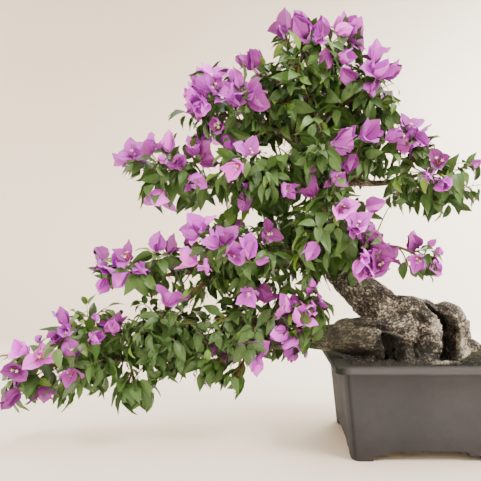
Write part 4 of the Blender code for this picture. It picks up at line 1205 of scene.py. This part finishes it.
def painted_shade_share(places):
    """How dark the painted shade is at each place on the trunk: under the stub, round its foot and in the
    hollows.
    """
    share = patch_share(places, PAINTED_SHADE_PATCHES)
    front = places[:, 1] < FRONT_OF_BASE
    for hollow in HOLLOWS:
        share[front] = np.maximum(share[front], hollow.stain * hollow_share(places[front], hollow))
    return share


def reskin(made, voxel, smoothing):
    """Wraps the mesh in one even skin, a little smoothed."""
    modify(made, "REMESH", mode="VOXEL", voxel_size=voxel)
    modify(made, "SMOOTH", factor=0.5, iterations=smoothing)
    apply_modifiers(made)


def cut_at_soil(mesh):
    """Takes off what lies under the soil and closes the cut."""
    shape = shape_of(mesh)
    everything = shape.verts[:] + shape.edges[:] + shape.faces[:]
    ground = (0, 0, SOIL_TOP - TRUNK_SUNK)
    bmesh.ops.bisect_plane(shape, geom=everything, plane_co=ground, plane_no=(0, 0, -1), clear_outer=True)
    bmesh.ops.holes_fill(shape, edges=[edge for edge in shape.edges if edge.is_boundary])
    bmesh.ops.triangulate(shape, faces=[face for face in shape.faces if len(face.verts) > 4])
    finish_shape(shape, mesh).update()


def limb_tubes(name, limbs):
    """Plain tubes along some limbs, as one object."""
    pile = Pile()
    for limb in limbs:
        rings = max(round(limb.length() / TUBE_STEP), 6)
        pile.add_tube(*limb.stations(rings), TUBE_SIDES)
    return pile.make(name, [])


def make_trunk(trunk, stub, roots):
    """Trunk, stub, ridge, burl and roots as one skin with the bark's relief."""
    body = [trunk, stub, station_limb(RIDGE_STATIONS), *roots]
    struts = [station_limb(row) for row in (STRUT_STATIONS, FORKED_ROOT_STATIONS, RIM_ROOT_STATIONS)]
    made = limb_tubes("trunk_bark", body)
    shape = shape_of(made.data)
    for centre, radii in LUMPS_ON_BASE:
        for vert in bmesh.ops.create_icosphere(shape, subdivisions=4, radius=1)["verts"]:
            vert.co = Vector(centre) + vert.co * Vector(radii)
    finish_shape(shape, made.data)
    reskin(made, *COARSE_SKIN)
    for hollow in HOLLOWS:
        carve(made.data, hollow)
    added = limb_tubes("trunk_struts", struts)
    finish_shape(shape_of(made.data, added.data), made.data)
    bpy.data.objects.remove(added)
    reskin(made, *FINE_SKIN)
    mesh = made.data
    cut_at_soil(mesh)
    places = point_values(mesh, "co")
    which, ahead = nearest_limb(places, body + struts)
    old_wood = np.clip((OLD_WOOD_X - places[:, 0]) / OLD_WOOD_FADE, 0, 1)
    old_wood = np.where(which == body.index(stub), old_wood, 0)
    amounts = np.array([*BODY_RELIEF, *[ROOT_RELIEF] * len(roots), *STRUT_RELIEF])[which]
    add_relief(mesh, ahead, amounts * (1 - OLD_WOOD_CALM * old_wood), 1.0)
    burl = ellipsoid_share(places, *SMOOTH_BURL)
    keep(mesh, "smoothness", np.maximum(OLD_WOOD_SMOOTHNESS * old_wood, BURL_SMOOTHNESS * burl))
    keep(mesh, "stain", painted_shade_share(places))
    mesh.shade_smooth()
    mesh.materials.append(bark_material("rugged_bark", *RUGGED_BARK))
    ride(made, "bark", "trunk")


def make_bough(bough, limb, material):
    """A bough with knots and thin bark, its foot sunk in the limb that carries it."""
    rings = max(round(limb.length() / BOUGH_STEP), 8)
    flaring = 0 if bough.parent == "stub" else BOUGH_FLARE
    path = []
    radii = []
    for i in range(rings + 1):
        along = i / rings
        place = limb.at(along)
        wobble = BOUGH_WOBBLE * min(along * 5, 1) * min((1 - along) * 5, 1)
        path.append(place + noise.noise_vector(place * WOBBLE_SCALE) * wobble)
        knot = 1 + KNOT_SWELL * max(noise.noise(place * KNOT_SCALE), 0)
        flare = 1 + flaring * math.exp(-((along * limb.length() / (limb.radius(0) * FLARE_REACH)) ** 2))
        radii.append(limb.radius(along) * knot * flare)
    pile = Pile()
    pile.add_tube(path, radii, BOUGH_SIDES)
    made = pile.make(bough.name + "_bark", [material])
    _, ahead = nearest_limb(point_values(made.data, "co"), [limb])
    count = len(ahead)
    relief = min(THIN_RELIEF + limb.radii[0] * RELIEF_PER_RADIUS, MOST_RELIEF)
    add_relief(made.data, ahead, np.full(count, relief), BOUGH_COARSENESS)
    keep(made.data, "smoothness", np.full(count, BOUGH_SMOOTHNESS))
    ride(made, "bark", bough.name)


class Template:
    """One leaf, bract or flower at unit length, growing along +Y with its face to +Z."""

    def __init__(self, verts, faces, kinds):
        self.verts = np.array([vert[:] for vert in verts], float)
        self.loops = np.concatenate([np.array(face) for face in faces])
        self.totals = np.array([len(face) for face in faces])
        self.kinds = np.array(kinds)


# A blade: its stations, each as the place along and the half width there, the columns from
# its edge to its rib, the rib's half width, how far it waves and crinkles, and its stalk
Blade = namedtuple("Blade", "stations columns rib wave crinkle stalk")
LEAF = Blade(
    ((0.07, 0.1), (0.2, 0.2), (0.38, 0.235), (0.6, 0.185), (0.8, 0.095), (0.92, 0.035)),
    (1.0, 0.52), 0.05, 0.022, 0.006, 0.2,
)
LEAF_BENDS = ((0.18, 0.45), (0.32, 0.75), (0.45, 1.05), (0.26, 1.35), (0.55, 0.6), (0.12, 0.9))
BRACT = Blade(
    ((0.05, 0.22), (0.18, 0.35), (0.38, 0.41), (0.58, 0.385), (0.76, 0.28), (0.91, 0.11)),
    (1.0, 0.66, 0.33), 0.055, 0.055, 0.026, 0.02,
)
BRACT_BENDS = ((0.34, -0.6), (0.46, -0.35), (0.6, -0.8), (0.3, 0.3), (0.42, 0.6))


def blade_template(blade, fold, curl, seed):
    """A blade with a folded midrib, an arched length and a wavy margin."""
    chance = random.Random(seed)
    phases = [chance.uniform(0, 2 * math.pi) for _ in range(2)]
    columns = [-column for column in blade.columns]
    columns += [-blade.rib, blade.rib, *reversed(blade.columns)]

    def spot(t, across, half):
        angle = curl * t
        centre = Vector((0, math.sin(angle) / curl, -(1 - math.cos(angle)) / curl))
        over = Vector((0, math.sin(angle), math.cos(angle)))
        phase = phases[0 if across < 0 else 1]
        lift = abs(across) * half * math.sin(fold)
        lift += blade.wave * across**2 * math.sin(t * 11 + phase)
        lift += blade.crinkle * math.sin(t * 24 - abs(across) * 3 + phase) * abs(across)
        return centre + Vector((across * half * math.cos(fold), 0, 0)) + over * lift

    verts = [spot(0, 0, 0)]
    for t, half in blade.stations:
        for column in columns:
            narrow = column if abs(column) > blade.rib else column * (1.2 - t)
            verts.append(spot(t, narrow, half))
    verts.append(spot(1, 0, 0))
    tip = len(verts) - 1
    width = len(columns)
    rows = len(blade.stations) - 1
    faces = []
    kinds = []
    for k in range(width - 1):
        faces.append((0, 1 + k + 1, 1 + k))
        for row in range(rows):
            a = 1 + row * width + k
            faces.append((a, a + 1, a + 1 + width, a + width))
        a = 1 + rows * width + k
        faces.append((a, a + 1, tip))
        kinds += [1 if k == width // 2 - 1 else 0] * (rows + 2)
    foot = len(verts)
    for far, radius in ((-blade.stalk, 0.013), (0.02, 0.01)):
        verts += [Vector((radius * cosine, far, radius * sine - 0.006)) for cosine, sine in circle(3)]
    for k in range(3):
        j = (k + 1) % 3
        faces.append((foot + k, foot + j, foot + 3 + j, foot + 3 + k))
        kinds.append(1)
    return Template(verts, faces, kinds)


def blade_templates(blade, bends, seed):
    """A blade with each of some bends, as how far it folds and how far it curls."""
    return [blade_template(blade, fold, curl, seed + i) for i, (fold, curl) in enumerate(bends)]


def flower_template():
    """A slender tube that opens into a small five-pointed star."""
    sides = 5
    verts = []
    for far, radius in ((0, 0.045), (0.45, 0.075), (0.85, 0.055), (1.0, 0.1)):
        verts += [Vector((radius * cosine, far, radius * sine)) for cosine, sine in circle(sides)]
    rim = 3 * sides
    star = len(verts)
    middle = star + sides
    verts += [Vector((0.3 * cosine, 1.06, 0.3 * sine)) for cosine, sine in circle(sides, 0.5)]
    verts.append(Vector((0, 0.95, 0)))
    pairs = [(k, (k + 1) % sides) for k in range(sides)]
    faces = []
    for row in range(0, rim, sides):
        faces += [(row + a, row + a + sides, row + b + sides, row + b) for a, b in pairs]
    faces += [(rim + a, star + a, rim + b) for a, b in pairs]
    faces += [(rim + a, rim + b, middle) for a, b in pairs]
    return Template(verts, faces, [0] * rim + [1] * (2 * sides))


Placed = namedtuple("Placed", "template ahead over root size shade")


def scatter(name, placed, materials):
    """One joined mesh of many placed templates. Each shade has a pair of materials."""
    pile = Pile()
    groups = {}
    for item in placed:
        groups.setdefault(id(item.template), []).append(item)
    for items in groups.values():
        template = items[0].template
        across = [item.ahead.cross(item.over) for item in items]
        turn = np.array([[side[:], item.ahead[:], item.over[:]] for side, item in zip(across, items)])
        size = np.array([item.size for item in items])
        root = np.array([item.root[:] for item in items])
        verts = np.einsum("vk,nkc->nvc", template.verts, turn) * size[:, None, None] + root[:, None, :]
        steps = np.arange(len(items)) * len(template.verts)
        loops = (template.loops[None, :] + steps[:, None]).ravel()
        shades = np.array([item.shade for item in items])
        slots = (shades[:, None] * 2 + template.kinds[None, :]).ravel()
        pile.add(verts, loops, np.tile(template.totals, len(items)), slots)
    return pile.make(name, materials)


def step_way(path, step=-2):
    """The way ahead along one step of a path, its last step unless another is given."""
    return (path[step + 1] - path[step]).normalized()


def score(point, centre, radii):
    """How far out a point lies in an ellipsoid: 0 in its middle and 1 on its surface."""
    away = point - centre
    return Vector((away.x / radii.x, away.y / radii.y, away.z / radii.z)).length


def ellipsoid_area(radii):
    """The area of an ellipsoid's surface, very nearly."""
    a, b, c = (radius**AREA_POWER for radius in radii)
    return 4 * math.pi * ((a * b + a * c + b * c) / 3) ** (1 / AREA_POWER)


class Crown:
    """Everything that grows on the limbs, gathered by kind."""

    def __init__(self, limbs):
        self.limbs = limbs
        self.spaces = {mass.name: (Vector(mass.centre), Vector(mass.radii)) for mass in MASSES}
        self.leaves = {tier: [] for tier in TIERS}
        self.bracts = []
        self.flowers = []
        self.twigs = Pile()
        self.leaf_templates = blade_templates(LEAF, LEAF_BENDS, LEAF_SEED)
        self.bract_templates = blade_templates(BRACT, BRACT_BENDS, BRACT_SEED)
        self.flower = flower_template()
        self.wood = []
        for limb in limbs.values():
            self.wood += zip(*limb.stations(WOOD_SAMPLES))

    def owns(self, name, point, reach):
        """True where a point lies in the named space and no other has a better claim."""
        own = score(point, *self.spaces[name])
        if own > reach:
            return False
        others = (space for other, space in self.spaces.items() if other != name)
        return all(own < score(point, *space) + SHARED_ROOM for space in others)

    def nearest(self, point):
        """How far out a point lies in the space that it lies deepest in, and whose that is."""
        return min((score(point, *self.spaces[mass.name]), i) for i, mass in enumerate(MASSES))

    def hits_wood(self, point):
        return any((point - place).length < radius + WOOD_ROOM for place, radius in self.wood)


class Growth:
    """One mass, grown from its limb: a stem, twigs, side shoots, leaves and blooms."""

    def __init__(self, index, mass, crown):
        self.mass = mass
        self.crown = crown
        self.chance = random.Random(MASS_SEED + index)
        self.centre, self.radii = crown.spaces[mass.name]
        limb = crown.limbs[mass.parent]
        start = limb.at(mass.along)
        inwards = self.centre - start
        heading = limb.direction(1) if mass.along >= 1 else inwards.normalized()
        far = self.centre + inwards.normalized() * min(mass.radii) * STEM_REACH
        thick = max(STEM_RADIUS * min(min(mass.radii) / FULL_STEM_SPACE, 1), STEM_TIP_RADIUS)
        radii = (thick, (thick + STEM_TIP_RADIUS) / 2, STEM_TIP_RADIUS)
        self.stem = Limb((start, start + heading * inwards.length * STEM_BEND, far), radii)
        self.leaf_length = LEAF_LENGTH * (DENSE_LEAF_SIZE if mass.density >= DENSE else 1)
        self.place = 0
        self.turn = self.chance.uniform(0, 2 * math.pi)

    def vary(self, amount):
        return self.chance.uniform(-amount, amount)

    def wander(self, amount):
        return Vector((self.vary(amount), self.vary(amount), self.vary(amount)))

    def next_side(self, ahead, turn):
        """The side that the next leaf or shoot grows to, turned on from the last one."""
        self.turn += turn
        return turned(ahead, side_of(ahead), self.turn)

    def height(self, point):
        """How far above the space's middle a point lies, as a share of its upright radius."""
        return (point.z - self.centre.z) / self.radii.z

    def targets(self):
        """Where the twigs go, evenly round the space, and whether each ends in a bloom."""
        count = round(ellipsoid_area(self.radii) * TWIGS_PER_AREA * self.mass.density) + 3
        first_turn = self.chance.uniform(0, 2 * math.pi)
        blooms = []
        for across, up in self.mass.blooms:
            blooms.append(Vector((across, -math.sqrt(max(1 - across**2 - up**2, 0)), up)))
        found = [(direction, True) for direction in blooms]
        for i in range(count):
            z = 1 - (2 * i + 1) / count
            flat = math.sqrt(1 - z * z)
            angle = i * GOLDEN_ANGLE + first_turn
            direction = Vector((flat * math.cos(angle), flat * math.sin(angle), z))
            if any(direction.dot(bloom) > BLOOM_ROOM for bloom in blooms):
                continue
            far_bloom = direction.y > 0 and self.chance.random() < FAR_BLOOM_CHANCE
            found.append((direction, far_bloom))
        return found

    def curved(self, start, heading, end, steps):
        """A row of points that leaves along a heading and arches over to its end."""
        length = (end - start).length
        first = start + heading * length * 0.38 + self.wander(length * 0.05)
        second = end - (end - start) * 0.3 + UP * length * TWIG_ARCH + self.wander(length * 0.06)
        points = []
        for i in range(steps + 1):
            t = i / steps
            u = 1 - t
            points.append(start * u**3 + first * 3 * u * u * t + second * 3 * u * t * t + end * t**3)
        return points

    def add_leaf(self, point, direction, size, shade):
        """A leaf that hangs from its stalk, unless it would run into a limb."""
        root = point + direction * size * STALK_SHARE
        if not self.crown.owns(self.mass.name, root + direction * size * 0.7, LEAF_REACH):
            return
        if self.crown.hits_wood(root + direction * size * 0.45):
            return
        outward = (point - self.centre).normalized()
        over = side_of(direction, UP * 0.7 + outward * 0.7 + self.wander(0.45))
        over.rotate(Quaternion(direction, self.vary(0.6)))
        template = self.chance.choice(self.crown.leaf_templates)
        self.crown.leaves[self.mass.tier].append(Placed(template, direction, over, root, size, shade))

    def leaf_shade(self, point):
        """Painted shade and light: darker leaves inside and below, lighter ones outside and on top, darker
        still in dense masses.
        """
        depth = score(point, self.centre, self.radii)
        level = 0.4 + depth * 1.3 + self.height(point) * 0.7 + self.vary(1.1)
        if self.mass.density >= DENSE:
            level -= DENSE_PAINTED_SHADE
        return min(max(int(level), 0), YOUNG_SHADES[0])

    def tip_shade(self, point):
        """Now and then the light green of a young leaf."""
        if self.chance.random() < YOUNG_CHANCE:
            return YOUNG_SHADES[0] if self.chance.random() < 0.7 else YOUNG_SHADES[1]
        return self.leaf_shade(point)

    def add_leaves(self, path, first):
        """Leaves set round a shoot at even steps, and a smaller young pair at its tip."""
        lengths = [(b - a).length for a, b in zip(path, path[1:])]
        total = sum(lengths)
        count = max(round(total * (1 - first) / (LEAF_SPACING * self.leaf_length / LEAF_LENGTH)), 1)
        for i in range(count):
            away = total * (first + (1 - first) * (i + 0.3) / count)
            step = 0
            while step < len(lengths) - 1 and away > lengths[step]:
                away -= lengths[step]
                step += 1
            ahead = step_way(path, step)
            point = path[step] + ahead * away
            out = self.next_side(ahead, GOLDEN_ANGLE + self.vary(0.3))
            hang = LEAF_HANG + max(-self.height(point), 0) * LOW_LEAF_HANG + self.vary(0.25)
            direction = (ahead * 0.35 + out * 0.7 - UP * hang + self.wander(0.15)).normalized()
            size = self.leaf_length * (1 - 0.2 * (i / count)) * self.chance.uniform(*LEAF_SIZES)
            self.add_leaf(point, direction, size, self.leaf_shade(point))
        ahead = step_way(path)
        for _ in range(2):
            out = self.next_side(ahead, math.pi + self.vary(0.4))
            direction = (ahead * 0.8 + out * 0.5 - UP * self.chance.uniform(-0.2, 0.5)).normalized()
            size = self.leaf_length * self.chance.uniform(*TIP_LEAF_SIZES)
            self.add_leaf(path[-1], direction, size, self.tip_shade(path[-1]))

    def add_bloom_unit(self, base, axis, bud):
        """Three bracts round an axis, from a closed bud to wide open, with small flowers."""
        side = side_of(axis, self.wander(1.0) + Vector((0.01, 0, 0)))
        openness = BUD_OPENNESS
        if not bud:
            openness = self.chance.choice(OPENNESSES) * self.chance.uniform(0.85, 1.15)
        size = BRACT_LENGTH * self.chance.uniform(*(BUD_SIZES if bud else BLOOM_SIZES))
        shade = self.chance.choice(BRACT_SHADES)
        for i in range(3):
            out = turned(axis, side, 2 * math.pi * i / 3 + self.vary(0.25))
            ahead = (axis + out * openness * self.chance.uniform(0.7, 1.3)).normalized()
            over = side_of(ahead, axis - out * 0.2)
            template = self.crown.bract_templates[self.chance.randrange(3 if openness < 0.6 else 5)]
            tint = min(max(shade + self.chance.choice((-1, 0, 0, 1)), 0), len(BRACT_COLOURS) - 1)
            length = size * self.chance.uniform(0.9, 1.08)
            root = base + out * BRACT_OFFSET
            self.crown.bracts.append(Placed(template, ahead, over, root, length, tint))
            if not bud and self.chance.random() < FLOWER_CHANCE:
                ahead = (axis + out * 0.25 * openness).normalized()
                over = side_of(ahead, out)
                root = base + out * FLOWER_OFFSET
                length = self.chance.uniform(*FLOWER_LENGTHS)
                self.crown.flowers.append(Placed(self.crown.flower, ahead, over, root, length, 0))

    def add_cluster(self, end, ahead):
        """One to three blooms on thin stalks at a twig's end, some of them still buds."""
        units = self.chance.choice(CLUSTER_UNITS)
        outward = (end - self.centre).normalized()
        spread = 0.3 if units == 1 else 0.9
        for i in range(units):
            out = turned(ahead, side_of(ahead), 2 * math.pi * i / units + self.vary(0.6))
            rise = self.chance.uniform(-0.45, 0.75)
            axis = (outward * 0.7 + out * spread + UP * rise + self.wander(0.35)).normalized()
            base = end + axis * self.chance.uniform(*BLOOM_STALKS)
            stalk = self.curved(end - ahead * 0.004, ahead, base, 3)
            self.crown.twigs.add_tube(stalk, [STALK_RADIUS] * 4, 4, 1)
            self.add_bloom_unit(base, axis, self.chance.random() < BUD_CHANCE)

    def add_shoot(self, start, way, length, thick):
        """A short leafy shoot."""
        steps = 4
        path = self.curved(start, way, start + way * length, steps)
        taper = [thick + (SHOOT_TIP_RADIUS - thick) * k / steps for k in range(steps + 1)]
        self.crown.twigs.add_tube(path, taper, 4, 1)
        self.add_leaves(path, 0.12)

    def twig_spread(self, edge, blooms):
        """How far from the middle towards the space's edge a twig ends."""
        if blooms:
            return max(1 - BLOOM_TIP_ROOM / edge.length, LEAST_SPREAD)
        lump = LUMPS * noise.noise((self.centre + edge) * LUMP_SCALE * 2)
        depth = DEEPEST_TIP * self.chance.random() ** 1.5
        return max(1 - TIP_ROOM / edge.length - depth + lump, LEAST_SPREAD)

    def add_twig(self, direction, blooms):
        """A curved twig towards one target, with side shoots, leaves and perhaps blooms."""
        edge = direction * self.radii
        end = self.centre + edge * self.twig_spread(edge, blooms)
        if not blooms and not self.crown.owns(self.mass.name, end, TWIG_REACH):
            return
        self.place = (self.place + GOLDEN_STEP) % 1
        along = TWIG_START + (TWIG_LAST_START - TWIG_START) * self.place
        start = self.stem.at(along)
        heading = (self.stem.direction(along) * 0.5 + (end - start).normalized()).normalized()
        path = self.curved(start, heading, end, TWIG_STEPS)
        taper = TWIG_TIP_RADIUS - TWIG_RADIUS
        radii = [TWIG_RADIUS + taper * i / TWIG_STEPS for i in range(TWIG_STEPS + 1)]
        self.crown.twigs.add_tube(path, radii, 5)
        if blooms:
            self.add_leaves(path[:-1], 0.5)
            self.add_cluster(end, step_way(path))
            return
        self.add_leaves(path, 0.3)
        for i in range(SHOOTS_PER_TWIG):
            step = min(2 + 2 * i + self.chance.randrange(2), TWIG_STEPS - 1)
            ahead = step_way(path, step)
            out = self.next_side(ahead, GOLDEN_ANGLE)
            way = (ahead * 0.6 + out * 0.8 + UP * 0.2).normalized()
            length = SHOOT_LENGTH * self.chance.uniform(0.6, 1.25)
            if self.crown.owns(self.mass.name, path[step] + way * length, 1.0):
                self.add_shoot(path[step], way, length, SHOOT_RADIUS)

    def grow(self):
        self.crown.twigs.add_tube(*self.stem.stations(9), 7)
        for direction, blooms in self.targets():
            self.add_twig(direction, blooms)


def add_bough_shoots(crown, growths, limb):
    """Leafy shoots straight from a limb, wherever a mass of foliage is near."""
    chance = random.Random(BOUGH_SHOOT_SEED)
    count = round(limb.length() / BOUGH_SHOOT_STEP)
    for i in range(count):
        along = BOUGH_BARE + (1 - BOUGH_BARE) * i / count
        ahead = limb.direction(along)
        out = turned(ahead, side_of(ahead), i * GOLDEN_ANGLE)
        way = (out + ahead * 0.4 + UP * 0.35).normalized()
        start = limb.at(along) + out * limb.radius(along) * 0.8
        length = BOUGH_SHOOT_LENGTH * chance.uniform(0.6, 1.2)
        far, index = crown.nearest(start + way * length)
        if far < BOUGH_SHOOT_REACH:
            growths[index].add_shoot(start, way, length, TWIG_RADIUS)


def make_crown(limbs):
    crown = Crown(limbs)
    growths = [Growth(index, mass, crown) for index, mass in enumerate(MASSES)]
    for growth in growths:
        growth.grow()
    for limb in limbs.values():
        add_bough_shoots(crown, growths, limb)
    leaf_materials = paired_materials("leaf_green", "leaf_rib", LEAF_COLOURS, LEAF_RIB_SHADE)
    bract_colours = [(colour, PETAL_ROUGHNESS) for colour in BRACT_COLOURS]
    bract_materials = paired_materials("bract_pink", "bract_vein", bract_colours, BRACT_RIB_SHADE)
    for tier in TIERS:
        nodes = [mass.name for mass in MASSES[:len(FOLIAGE)] if mass.tier == tier]
        ride(scatter("leaves_" + tier, crown.leaves[tier], leaf_materials), "leaf", *nodes)
    ride(scatter("bracts", crown.bracts, bract_materials), "bract")
    ride(scatter("blossoms", crown.flowers, plain_materials(FLOWER_COLOURS)), "blossom")
    ride(crown.twigs.make("twigs", plain_materials(TWIG_COLOURS)), "bark")


# Stage and light
FLOOR_RADIUS = 2.6
FLOOR_RINGS = (0.6, 1.4, FLOOR_RADIUS)
FLOOR_DROP = 0.0002
COVE_RADIUS = 0.9
COVE_STEPS = 12
WALL_HEIGHT = 5.5
STAGE_SIDES = 72
# Each light: its name, its place, what it is turned to where that isn't the plant, its
# size, its power and its colour
LIGHTS = (
    ("window_light", (1.7, -1.3, 2.1), None, 1.0, 82, (1.0, 0.98, 0.94)),
    ("top_light", (0.2, 0.1, 2.6), None, 1.8, 62, (1.0, 1.0, 0.99)),
    ("left_fill", (-2.3, -0.9, 1.2), None, 1.8, 40, (0.99, 0.99, 1.0)),
    ("back_light", (0.9, 1.9, 1.6), None, 1.3, 50, (1.0, 0.99, 0.97)),
    ("wall_light", (1.5, 1.2, 2.0), (2.4, 3.2, 1.1), 1.0, 150, (1.0, 1.0, 0.99)),
)
SKY_COLOUR = (238, 234, 228)
SKY_STRENGTH = 1.5


def make_stage():
    """A plain round floor that curves up into a backdrop."""
    profile = [(across, 0.0) for across in FLOOR_RINGS]
    for step in range(1, COVE_STEPS + 1):
        turn = math.radians(90 * step / COVE_STEPS)
        across = FLOOR_RADIUS + COVE_RADIUS * math.sin(turn)
        profile.append((across, COVE_RADIUS * (1 - math.cos(turn))))
    profile.append((FLOOR_RADIUS + COVE_RADIUS, WALL_HEIGHT))
    shape = shape_of()
    centre = shape.verts.new((0, 0, -FLOOR_DROP))
    rings = []
    for across, up in profile:
        places = [(across * cosine, across * sine, up - FLOOR_DROP) for cosine, sine in circle(STAGE_SIDES)]
        rings.append([shape.verts.new(place) for place in places])
    for k in range(STAGE_SIDES):
        j = (k + 1) % STAGE_SIDES
        shape.faces.new((centre, rings[0][k], rings[0][j]))
        for ring, following in zip(rings, rings[1:]):
            shape.faces.new((ring[k], following[k], following[j], ring[j]))
    mesh = finish_shape(shape, bpy.data.meshes.new("floor"))
    mesh.shade_smooth()
    mesh.materials.append(stage_material())
    add_object("floor", mesh, (0, 0, 0))


def make_lights():
    middle = (CAD_BOX[0] + CAD_BOX[1]) / 2
    for name, place, aim, size, power, colour in LIGHTS:
        light = bpy.data.lights.new(name, "AREA")
        settle(light, shape="DISK", size=size, energy=power, color=colour)
        way = Vector(aim or middle) - Vector(place)
        made = settle(add_object(name, light, place), rotation_mode="QUATERNION")
        made.rotation_quaternion = way.to_track_quat("-Z", "Y")
    world = settle(bpy.data.worlds.new("studio"), use_nodes=True)
    background = world.node_tree.nodes["Background"]
    background.inputs["Color"].default_value = (*linear(*SKY_COLOUR), 1)
    background.inputs["Strength"].default_value = SKY_STRENGTH
    bpy.context.scene.world = world


def make_camera():
    camera = settle(bpy.data.cameras.new("camera"), lens=LENS_MM, sensor_width=SENSOR_MM)
    camera.shift_x = 0.5 - VANISHING_X / PHOTO_SIZE
    camera.shift_y = HORIZON_Y / PHOTO_SIZE - 0.5
    made = add_object("camera", camera, CAMERA_PLACE + MIDDLE)
    made.rotation_euler = (math.pi / 2, 0, 0)
    bpy.context.scene.camera = made


make_camera()
make_stage()
make_lights()

noise.seed_set(NOISE_SEED)
limbs = {"trunk": station_limb(TRUNK_STATIONS), "stub": station_limb(STUB_STATIONS)}
for bough in BOUGHS:
    limbs[bough.name] = bough_limb(bough, limbs[bough.parent])

make_pot()
make_soil()
make_grit()
make_moss()
make_trunk(limbs["trunk"], limbs["stub"], [root_limb(i, root) for i, root in enumerate(ROOTS)])
thin_bark = bark_material("bough_bark", *THIN_BARK)
for bough in BOUGHS:
    make_bough(bough, limbs[bough.name], thin_bark)
make_crown(limbs)
